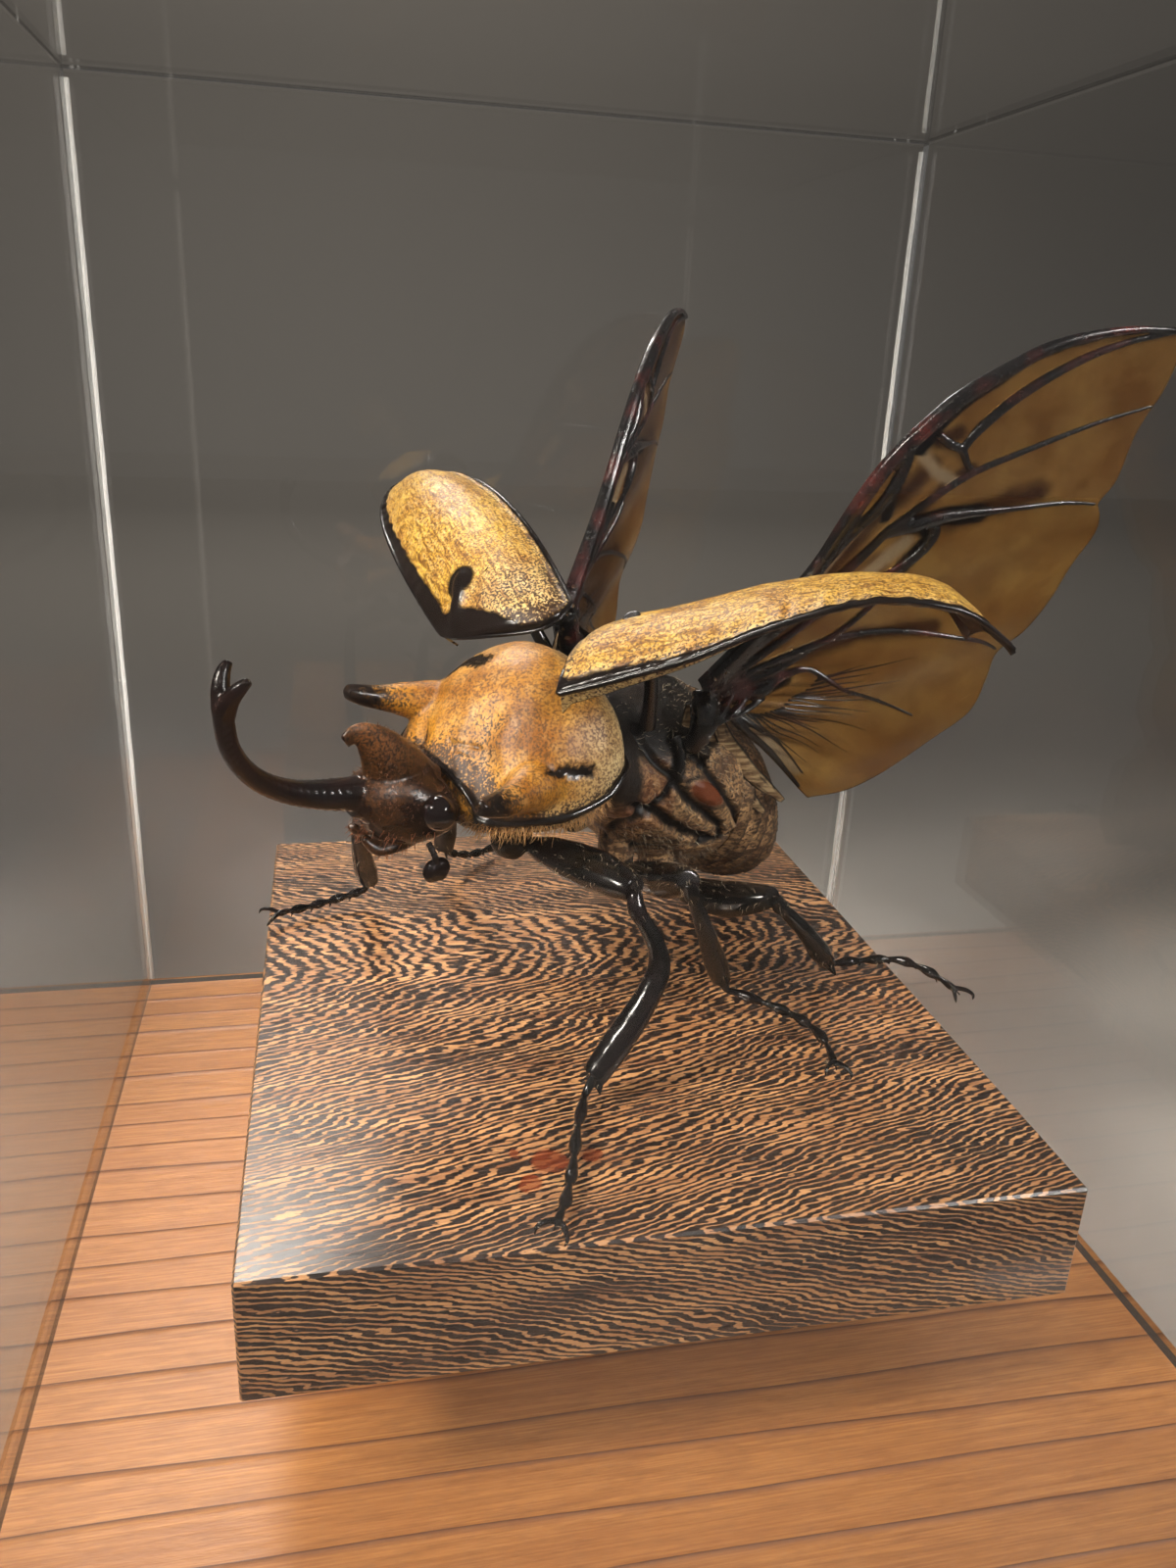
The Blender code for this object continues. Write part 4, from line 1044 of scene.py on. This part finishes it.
VEINS = [  # path in the wing's plane, then its radii in millimetres from the root outwards
    ([(0.5, -0.2), (8, -1.6), (15, -2.9), (23, -4.9), (30, -8.3), (37, -11.2), (42, -12.3)],
     [1.15, 1.0, 0.9, 0.85]),
    ([(41.4, -12.1), (46, -12.6), (50, -12.7), (55, -11.9), (61, -10.6), (67, -7.6), (72, -4.0),
      (75.6, -0.5)],
     [0.95, 0.95, 0.85, 0.65, 0.4, 0.25]),
    ([(0.2, 0.6), (8, -0.6), (16, -0.9), (24, -1.2), (29.8, -1.9), (34.0, -3.0)],
     [0.95, 0.8, 0.65, 0.5]),
    ([(23, -3.9), (29, -6.0), (34, -7.2), (38.4, -9.3), (41.4, -11.6)], [0.35, 0.6, 0.7, 0.7, 0.6]),
    ([(46.2, -6.6), (49, -7.5), (54.6, -7.7), (61.4, -6.6), (68.9, -4.2), (75.6, -0.4)],
     [0.45, 0.62, 0.6, 0.45, 0.2]),
    ([(44.8, -10.6), (45.4, -8.4), (46.2, -6.6), (45.9, -4.2), (46.1, -2.5)],
     [0.5, 0.55, 0.5, 0.4, 0.4]),
    ([(34.2, -2.9), (40.3, -3.1), (46.1, -2.5), (53.4, 0.1), (62.5, 3.8), (69.3, 7.2)],
     [0.5, 0.5, 0.42, 0.32, 0.2]),
    ([(31.8, -2.8), (36.5, -1.0), (40.3, 0.8), (47.3, 5.9), (54.2, 11.2), (57.6, 14.9)],
     [0.45, 0.95, 0.8, 0.4, 0.28, 0.2]),
    ([(37.5, -0.4), (38.2, 1.3), (36.7, 2.5), (34.0, 3.1), (29.0, 2.8), (23.0, 1.8)],
     [0.7, 0.8, 0.7, 0.55, 0.4]),
    ([(0.6, 1.8), (6, 3.0), (12.3, 5.0), (18.3, 7.3), (27, 13.5), (34.6, 22.4), (36.4, 27.0)],
     [0.8, 0.6, 0.5, 0.35, 0.2]),
    ([(1.2, 4.0), (5.9, 6.9), (9.5, 7.6), (13.3, 9.7), (16.1, 17.7), (21, 28.8)],
     [0.9, 1.0, 0.8, 0.42, 0.3, 0.2]),
    ([(0.3, 5.0), (0.6, 11.5), (1.0, 17.0), (0.9, 22.0), (0.7, 27.0)], [0.7, 0.5, 0.38, 0.25]),
    ([(0.8, 7.0), (2.2, 12.0), (2.8, 18.0), (2.6, 25.0)], [0.4, 0.25, 0.15]),
    ([(0.5, 3.0), (7, 5.2), (14, 6.4), (21, 6.8), (28, 5.0), (33, 2.8)], [0.8, 0.6, 0.45, 0.3]),
    ([(0.4, 1.2), (9, 1.4), (18, 1.4), (26, 0.8)], [0.7, 0.6, 0.5, 0.4]),
]
DARK_ZONES = [  # a path in the wing's plane, then where its darkness starts and stops falling off
    ([(33.8, -5.0), (36.4, -7.8), (40.9, -11.2)], 0.7, 1.0),
    ([(36.5, -1.0), (40.3, 0.8), (44.0, 3.6)], 1.1, 1.7),
    ([(37.2, 0.4), (37.2, 2.2), (32.0, 3.2)], 0.8, 1.3), ([(1.0, 4.4), (6.5, 7.0), (10.0, 7.9)], 1.0, 1.6),
    ([(0.0, 0.0), (10.0, -1.2), (20.0, -1.6)], 0.8, 2.2),
]
RUST_ZONES = [  # a path, then its width
    ([(40.5, 2.0), (46, 4.0), (52, 7.0)], 2.6), ([(24, -3.0), (34, -6.0), (42, -7.6)], 2.4),
    ([(13, 6.4), (22, 9.8), (31, 16.0)], 2.2), ([(4, 1.0), (18, 1.4), (30, 0.8)], 2.0),
    ([(44, -9.8), (47, -9.0)], 1.6), ([(36, -2.0), (42, -3.6), (46, -3.2)], 1.4),
]
PALE_ZONES = [
    ([(22.9, -3.6), (31.3, -6.4), (34.2, -6.6)], 0.9),
    ([(41.9, -9.4), (42.1, -6.5), (43.4, -3.4)], 1.3),
    ([(8, 3.4), (16, 6.0)], 0.8), ([(26, 1.0), (34.5, 0.4)], 1.4), ([(1.6, 8), (2.0, 24)], 1.0),
]
FAN_FROM = [(1.8, 8.6), (4.2, 10.2), (6.8, 11.4), (9.6, 11.6), (13.2, 11.6)]
FAN_TO = [(3.6, 24.5), (9.4, 27.4), (15.6, 25.4), (21.6, 22.6), (27.4, 18.0)]
wing_film = new_finish("amber_wing_film", Roughness=0.16, IOR=1.35, Transmission_Weight=0.84)
at = own_place(wing_film)
amber = mottled(wing_film, 110.0, 0.36, 0.66, (0.40, 0.185, 0.040), (0.62, 0.37, 0.105), 0.6, 5.0)
for mask, tone in (("pale", (0.66, 0.52, 0.34)), ("rust", (0.110, 0.030, 0.008)),
                   ("fan", (0.14, 0.055, 0.016)), ("dark", (0.012, 0.007, 0.006))):
    amber = mixed(wing_film, painted(wing_film, mask), amber, tone)
wrinkles = cloud(wing_film, drawn_place(wing_film, (0, 0, 0), (700.0, 500.0, 1500.0)), 1.0, 4.0, 0.6)
dints = knot(wing_film, "TexVoronoi", {"Vector": at, "Scale": 620.0})
uneven = plus(wing_film, wrinkles, times(wing_film, spread(wing_film, dints, 0.0, 0.16, 1.0, 0.0), 0.5))
set_sockets(wing_film, Base_Color=amber, Normal=grain_relief(wing_film, uneven, 0.35, 0.0003))

vein_shell = new_finish("dark_red_veins", IOR=1.55, Coat_Weight=0.5, Coat_Roughness=0.08)
vein_tone = mottled(vein_shell, 170.0, 0.52, 0.80, (0.005, 0.004, 0.004), (0.085, 0.014, 0.010), 0.6)
pores = cloud(vein_shell, own_place(vein_shell), 1500.0, 3.0, 0.6)
set_sockets(vein_shell, Roughness=spread(vein_shell, pores, 0.3, 0.7, 0.14, 0.30),
            Base_Color=mixed(vein_shell, painted(vein_shell, "root"), vein_tone, (0.25, 0.15, 0.075)),
            Normal=grain_relief(vein_shell, pores, 0.35, 0.00016))


def wing_margin(rows, x):
    """The margin's y at x, on a smooth curve through its measured points."""
    fine = eased(rows, 20 * len(rows))
    return np.interp(x, fine[:, 0], fine[:, 1])


def from_fan_root(x, y):
    """Turn and distance of a place on the wing, seen from where its pleats meet."""
    return np.arctan2(y + 3.0, x + 6.0), np.hypot(x + 6.0, y + 3.0)


def film_lift(x, y, fold):
    """How far the film stands off its plane: fan pleats by the root, then long soft waves."""
    turn, reach = from_fan_root(x, y)
    fan = 0.34 * np.sin(turn * 34) * ramp(turn, 0.35, 0.3)
    fan = fan * ramp(reach, 8.0, 10.0) * ramp(-reach, -42.0, 14.0)
    ridge = 0.55 * np.sin((y - 0.28 * x) * 0.42) * np.clip((58 - x) / 30, 0.25, 1)
    return fold * (fan + ridge) + 0.5 * np.sin(x * 0.11)


WINGS = {
    "left": (1.0, ((-21.7, 10.8, 3.0), (-0.521, 0.363, 0.772), (-0.455, -0.884, 0.109))),
    "right": (1.25, ((-16.0, -14.4, 4.0), (-0.708, -0.523, 0.475), (0.57, -0.82, -0.055))),
}
WING_ROOTS = {"left": [(-21.2, 11.4, 3.2), (-20.4, 13.8, -1), (-19.2, 13.5, -5.1)],
              "right": [(-16.2, -14.4, 4), (-18, -14.8, -0.5), (-19, -12.7, -4.4)]}
LEAVES = [  # folded skins that run back from the hinge: a path in the wing's plane, then half widths
    ([(-0.6, 4.0, 0.6), (-2.8, 11, 1.0), (-3.6, 20, 0.9), (-2.8, 28, 0.2)], [0.5, 1.2, 1.5, 1.3, 0.4]),
    ([(-2.2, 4.0, 0.8), (-5.2, 11, 1.5), (-6.6, 19, 1.4), (-6.4, 28, 0.3)], [0.6, 1.6, 1.9, 1.6, 0.3]),
    ([(-2.8, 1.0, 0.2), (-6.4, 6, 0.5), (-9.4, 11, 0.3), (-11.0, 15, -0.3)], [0.6, 1.5, 1.7, 1.3, 0.5]),
]
for side, (fold, stand) in WINGS.items():
    wing_place = stance(*stand)
    shape, shares = unit_grid(200, 96)
    film = new_object("wing_film_" + side, shape)
    along, across = shares.T
    x = 0.4 + (WING_LENGTH - 0.8) * along
    front, hind = wing_margin(WING_LEADING, x), wing_margin(WING_TRAILING, x)
    y = front + (hind - front) * across
    move_to(film, np.stack([x, y, film_lift(x, y, fold) * ramp(across, 0.0, 0.125)], axis=1))
    flat = np.stack([x, y, 0 * x], axis=1)
    plan = flat[:, :2]
    band = np.interp(x, [0, 18, 40, 42, 46, 60, 70, 76], [1.4, 1.2, 0.9, 3.0, 2.4, 1.6, 1.0, 0.5])
    margin = falls(np.minimum((1 - across) * (hind - front), (1 - along) * WING_LENGTH), 0.12, 0.3)
    dark = [falls(y - front + 0.25 * roughened(flat, 3.0, 20), band, band + 0.5), 0.55 * margin]
    dark += [beside(plan, path, near, far) for path, near, far in DARK_ZONES]
    stray = 0.5 * roughened(flat, 2.2, 21)
    rust = [beside(plan, path, 0.2, far, stray) for path, far in RUST_ZONES]
    if side == "right":
        depth = (y - front) / np.maximum(hind - front, 1)
        rust.append(0.8 * falls(depth + 0.1 * roughened(flat, 5.0, 24), 0.45, 0.85))
    pale = np.max([beside(plan, path, 0.3 * far, far) for path, far in PALE_ZONES], axis=0)
    turn, reach = from_fan_root(x, y)
    pleats = np.clip(np.sin(turn * 68 + 0.8 * roughened(flat, 6.0, 22)) * 1.6 - 0.7, 0, 1)
    pleats = pleats * ramp(turn, 0.45, 0.2) * ramp(reach, 9.0, 4.0) * ramp(-reach, -34.0, 16.0)
    paint(film, "dark", np.max(dark, axis=0))
    paint(film, "rust", 0.95 * np.max(rust, axis=0) * (1 - pale))
    paint(film, "pale", 0.9 * pale)
    paint(film, "fan", 0.75 * pleats)
    film.data.transform(wing_place)
    settle(film, wing_film, "amber_wing_film", "hind_wing_" + side)
    thicken(film, 0.14)

    net = bmesh.new()
    for path, radii in VEINS:
        x, y = eased(path, 14).T
        lift = film_lift(x, y, fold) * ramp(y, wing_margin(WING_LEADING, x), 4.0)
        course = [wing_place @ Vector(point) for point in zip(x, y, lift)]
        tube(net, course, [1.25 * radius for radius in radii], rings=56, sides=8)
    for bead_x in 19.0 + 0.78 * np.arange(30):
        front = wing_margin(WING_LEADING, bead_x)
        inner = wing_place @ Vector((bead_x, front + 0.25, 0.0))
        outer = wing_place @ Vector((bead_x + 0.25, front - 0.30, 0.0))
        tube(net, [inner, (inner + outer) / 2, outer], [0.5, 0.42, 0.2], rings=4, sides=6)
    rooted = WING_ROOTS[side]
    tube(net, rooted, [1.5, 2.1, 2.0, 1.6, 1.3], rings=24, sides=16)
    turned = 1 if side == "left" else -1
    for step in range(4):
        low = Vector(rooted[2]) + Vector((-1.2 * step, -0.2 * turned, 0.8 + 0.9 * step))
        high = wing_place @ Vector((1.5 + 1.4 * step, 2.0 + 2.1 * step, 0.2))
        middle = (low + high) / 2 + Vector((0.6, turned, 0.2))
        tube(net, [low, middle, high], [0.9, 0.65, 0.5], rings=16, sides=10, flat=(1.0, 0.6))
    veins = one_skin("wing_veins_" + side, net, 0.19, 2)
    points = points_of(veins)
    near_root = falls(np.linalg.norm(points - rooted[0], axis=1), 1.5, 6.0)
    paint(veins, "root", near_root * np.clip(2.2 * roughened(points, 1.0, 23) - 0.6, 0, 0.8))
    settle(veins, vein_shell, "black_shell")

    fan_lines = bmesh.new()
    for number, (start, end) in enumerate(zip(eased(FAN_FROM, 22), eased(FAN_TO, 22))):
        reach = 0.72 + 0.28 * math.sin(number * 2.3)
        x, y = (np.linspace(0, 1, 9)[:, None] * reach * (end - start) + start).T
        x += 0.25 * np.sin(np.linspace(0, 5, 9) + number)
        course = [wing_place @ Vector(point) for point in zip(x, y, film_lift(x, y, fold))]
        tube(fan_lines, course, [0.20, 0.16, 0.12, 0.06], rings=18, sides=6)
    settle(new_object("wing_fan_lines_" + side, fan_lines), vein_shell, "black_shell")

    folds = bmesh.new()
    for path, widths in LEAVES:
        tube(folds, path, widths, rings=34, sides=24, flat=(1.0, 0.17))
    bmesh.ops.recalc_face_normals(folds, faces=folds.faces)
    leaf = new_object("wing_root_folds_" + side, folds)
    points, outward = points_of(leaf), normals_of(leaf)
    across = np.min([from_path(points, eased(path, 20)) for path, _ in LEAVES], axis=0)
    crease = np.abs(np.sin(across * 5.2 + 0.8 * roughened(points, 2.0, 50)))
    move_to(leaf, points + outward * (0.12 * roughened(points, 1.0, 51))[:, None])
    outline = falls(np.abs(outward[:, 2]), 0.950, 0.975)
    paint(leaf, "seam_and_shade", np.maximum(outline, 0.9 * falls(crease, 0.10, 0.34)))
    paint(leaf, "bleached", 0.75 + 0.3 * roughened(points, 1.8, 54))
    paint(leaf, "oval", 0.25 * np.clip(roughened(points, 3.0, 52), 0, 1))
    paint(leaf, "dim", 0.2 * roughened(points, 2.0, 53))
    leaf.data.transform(wing_place)
    settle(leaf, plate_fur, "tan_downy_plates")

# ---------------------------------------------------------------- legs
# Six black glossy legs. Each has a thick thigh with sparse grey hairs and pores, a shin that
# broadens to a toothed end with a spur, and a foot of five flared joints with two hooked claws.
leg_shell = new_finish("black_leg_shell", IOR=1.5, Coat_Weight=0.5, Coat_Roughness=0.06,
                       Specular_IOR_Level=0.5)
pores = knot(leg_shell, "TexVoronoi", {"Vector": own_place(leg_shell), "Scale": 1500.0})
combed = drawn_place(leg_shell, (0, 0, 0), (900.0, 3600.0, 1800.0))
cover = spread(leg_shell, cloud(leg_shell, combed, 1.0, 3.0, 0.6), 0.50, 0.62)
cover = times(leg_shell, painted(leg_shell, "hairy"), cover)
leg_tone = mottled(leg_shell, 260.0, 0.4, 0.7, (0.002, 0.002, 0.002), (0.007, 0.004, 0.004))
set_sockets(leg_shell, Base_Color=mixed(leg_shell, cover, leg_tone, (0.24, 0.19, 0.12)),
            Roughness=spread(leg_shell, cover, 0.0, 1.0, 0.13, 0.55),
            Normal=grain_relief(leg_shell, spread(leg_shell, pores, 0.0, 0.35), 0.015, 0.00006))

FEMUR_RADII = [1.3, 2.5, 3.2, 3.4, 2.8, 1.8]
TIBIA_RADII = [1.0, 1.3, 1.5, 1.7, 2.1, 1.8]
LEGS = {
    "front_left": ([(4.5, 9.5, -17.8), (2.6, 19, -15.8), (2.5, 28, -13.5)],
                   [(3.0, 29.6, -15.4), (1.4, 34.6, -22.8), (11, 36.6, -35)],
                   [(12.8, 37.4, -36.8), (18.2, 42, -35.9), (23.4, 46.9, -34.7), (27.8, 50.6, -33.6),
                    (30.8, 52.6, -32.9)], 3),
    "mid_left": ([(-16, 11, -27.4), (-14.5, 19, -23.4), (-11, 26, -17.6)],
                 [(-11.6, 26.8, -19.6), (-14.6, 28.8, -25.8), (-20.5, 30, -36)],
                 [(-20.9, 31.4, -37.4), (-23, 38, -36), (-24.2, 42.5, -35.4), (-23.2, 47.4, -34.5),
                  (-19.4, 52.4, -33.4)], 2),
    "hind_left": ([(-25, 13, -31.5), (-26, 22, -28.5), (-27.1, 30, -23)],
                  [(-28.2, 31.0, -24.4), (-33.2, 33.4, -29), (-40, 35, -36.2)],
                  [(-41.4, 35.6, -37), (-46.4, 38.2, -36.2), (-50.2, 42, -34.8), (-50.8, 47.2, -33.6),
                   (-49.8, 51.8, -32.8)], 2),
    "front_right": ([(5, -9, -21), (8, -16, -22), (11, -22, -25.5)],
                    [(11, -22.6, -27.6), (8.6, -24.6, -39), (4, -27.6, -49.6)],
                    [(4.4, -27.8, -51.8), (12, -29, -53), (19.5, -29.8, -53.2)], 3),
    "mid_right": ([(-13, -10, -26.5), (-12, -18, -25.6), (-11, -25, -26)],
                  [(-10.4, -25.8, -27.6), (-11, -27.6, -38), (-12, -28.5, -48)],
                  [(-13.6, -28.8, -49.8), (-21, -30.2, -53), (-30, -31.4, -53.6)], 2),
    "hind_right": ([(-25, -12, -32), (-29, -17, -32), (-33, -21, -31)],
                   [(-34.4, -21, -32.6), (-40, -19, -39), (-45, -17, -45.5)],
                   [(-46.6, -17, -47.2), (-53, -18, -49.6), (-59, -19, -50.2)], 2),
}


def thorn(shape, root, ahead, bend, length, radius):
    """A curved spine that ends in a point."""
    root, ahead, bend = Vector(root), Vector(ahead).normalized(), Vector(bend)
    path = [root - ahead * 0.3, root + ahead * length * 0.5 + bend * 0.3, root + ahead * length + bend]
    tube(shape, path, [radius, radius * 0.7, 0.12], rings=9, sides=8)


LEG_STRANDS = []
LEG_HAIR_LEAN = (0.0, 0.0, -0.3)


def settle_leg(name, shape, voxel, node, hairiness, strand_count):
    """One joint of a leg: skinned, lightly dented and painted where it is hairy."""
    made = one_skin(name, shape, voxel, 3)
    points, outward = points_of(made), normals_of(made)
    move_to(made, points + outward * (0.04 * roughened(points, 1.6, 30))[:, None])
    upper = ramp(outward[:, 2], -0.35, 1.0)
    paint(made, "hairy", hairiness * upper * np.clip(0.7 + 0.6 * roughened(points, 3.0, 31), 0, 1))
    haired = outward[:, 2] > -0.4
    LEG_STRANDS.extend(strands_on(points, outward, haired, strand_count, 1.2, LEG_HAIR_LEAN, 60))
    settle(made, leg_shell, "black_shell", node)


for leg, (femur, tibia, tarsus, teeth) in LEGS.items():
    side_sign = 1.0 if tibia[0][1] > 0 else -1.0
    shape = bmesh.new()
    tube(shape, femur, FEMUR_RADII, rings=40, sides=28, flat=(1.0, 0.8))
    knee = eased(femur, 12)
    for lobe in (-0.9, 0.9):
        start, end = knee[-3] + (lobe, 0, -0.4), knee[-1] + (0.8 * lobe, 0, -1.0)
        tube(shape, [start, (start + end) / 2, end], [1.2, 1.1, 0.6], rings=10, sides=12)
    settle_leg("thigh_" + leg, shape, 0.24, "femur_" + leg, 0.06, 110)

    shape = bmesh.new()
    course = eased(tibia, 24)
    tube(shape, tibia, TIBIA_RADII, rings=44, sides=20, flat=(1.0, 0.82))
    knee_end, shin_start = Vector(femur[-1]), Vector(tibia[0])
    joint = [knee_end.lerp(shin_start, 0.15), shin_start, Vector(course[3])]
    tube(shape, joint, [1.0, 1.25, 1.0], rings=14, sides=16)
    outward = Vector((0.25, side_sign, 0.0)).normalized()
    for number in range(teeth):
        root = course[22 - int(4.2 * number)]
        ahead = outward + Vector(course[-1] - course[-6]).normalized() * 0.5
        thorn(shape, root, ahead, (0, 0, -0.5), 3.0 - 0.5 * number, 1.0)
    for spine in range(5):
        root = course[5 + 3 * spine]
        thorn(shape, root, Vector((0.5, -side_sign, -0.3)), (0, 0, -0.2), 1.5, 0.35)
    down = Vector(course[-1] - course[-4]).normalized()
    for spur in (-0.8, 0.8):
        thorn(shape, course[-2], down + outward * spur * 0.6, down * 0.2, 2.6, 0.5)
    settle_leg("shin_" + leg, shape, 0.2, "tibia_" + leg, 0.02, 24)

    shape = bmesh.new()
    course = eased(tarsus, 41)
    for joint in range(5):
        part = course[8 * joint:8 * joint + 9]
        last = joint == 4
        radii = [0.34, 0.42, 0.55, 0.6, 0.42] if last else [0.36, 0.5, 0.74, 0.86, 0.5]
        tube(shape, part[::2], radii, rings=14, sides=12)
        if not last:
            ahead = Vector(part[-1] - part[-3]).normalized()
            for lean in (-0.7, 0.7):
                way = ahead + Vector((0, 0, -0.5)) + outward * lean
                thorn(shape, part[-2], way, (0, 0, -0.1), 1.3, 0.26)
    ankle = [Vector(tibia[-1]), Vector(tarsus[0]), Vector(course[4])]
    tube(shape, ankle, [0.75, 0.5, 0.4], rings=10, sides=12)
    tip = Vector(course[-1])
    ahead = Vector(course[-1] - course[-5]).normalized()
    sideways = ahead.cross(Vector((0, 0, 1))).normalized()
    for lean in (1, -1):
        hook = [tip - ahead * 0.4, tip + ahead * 1.0 + sideways * lean * 1.1 + Vector((0, 0, 0.4)),
                tip + ahead * 2.2 + sideways * lean * 1.8 + Vector((0, 0, 0.1)),
                tip + ahead * 2.6 + sideways * lean * 1.7 + Vector((0, 0, -0.7))]
        tube(shape, hook, [0.42, 0.36, 0.28, 0.1], rings=14, sides=10)
    thorn(shape, tip, ahead, (0, 0, -0.2), 1.4, 0.2)
    settle_leg("foot_" + leg, shape, 0.15, "tarsus_" + leg, 0.02, 24)
hairs("leg_hairs", LEG_STRANDS, 0.034, hair_grey, "black_shell")

# ---------------------------------------------------------------- antennae
# Each antenna is a short elbowed stalk of small beads that ends in a glossy round club of
# three leaves pressed together.
for side, sign in (("left", 1), ("right", -1)):
    shape = bmesh.new()
    stalk = eased([(20.6, sign * 7.4, -14.4), (20.4, sign * 8.9, -15.6), (19.9, sign * 8.8, -17.0)], 31)
    for joint in range(6):
        part = stalk[5 * joint:5 * joint + 6]
        tube(shape, [part[0], part[3], part[5]], [0.36, 0.5, 0.36], rings=8, sides=12)
    for leaf in (-0.5, 0.0, 0.5):
        club = [(19.9 + leaf, sign * 8.8, -16.6), (19.6 + 1.3 * leaf, sign * 8.7, -18.2),
                (19.3 + leaf, sign * 8.5, -19.9)]
        tube(shape, club, [0.5, 1.2, 1.55, 1.2, 0.5], rings=18, sides=18, flat=(0.8, 1.0))
    antenna = one_skin("antenna_stalk_" + side, shape, 0.14, 2)
    settle(antenna, head_shell, "brown_head_shell", "antenna_" + side)
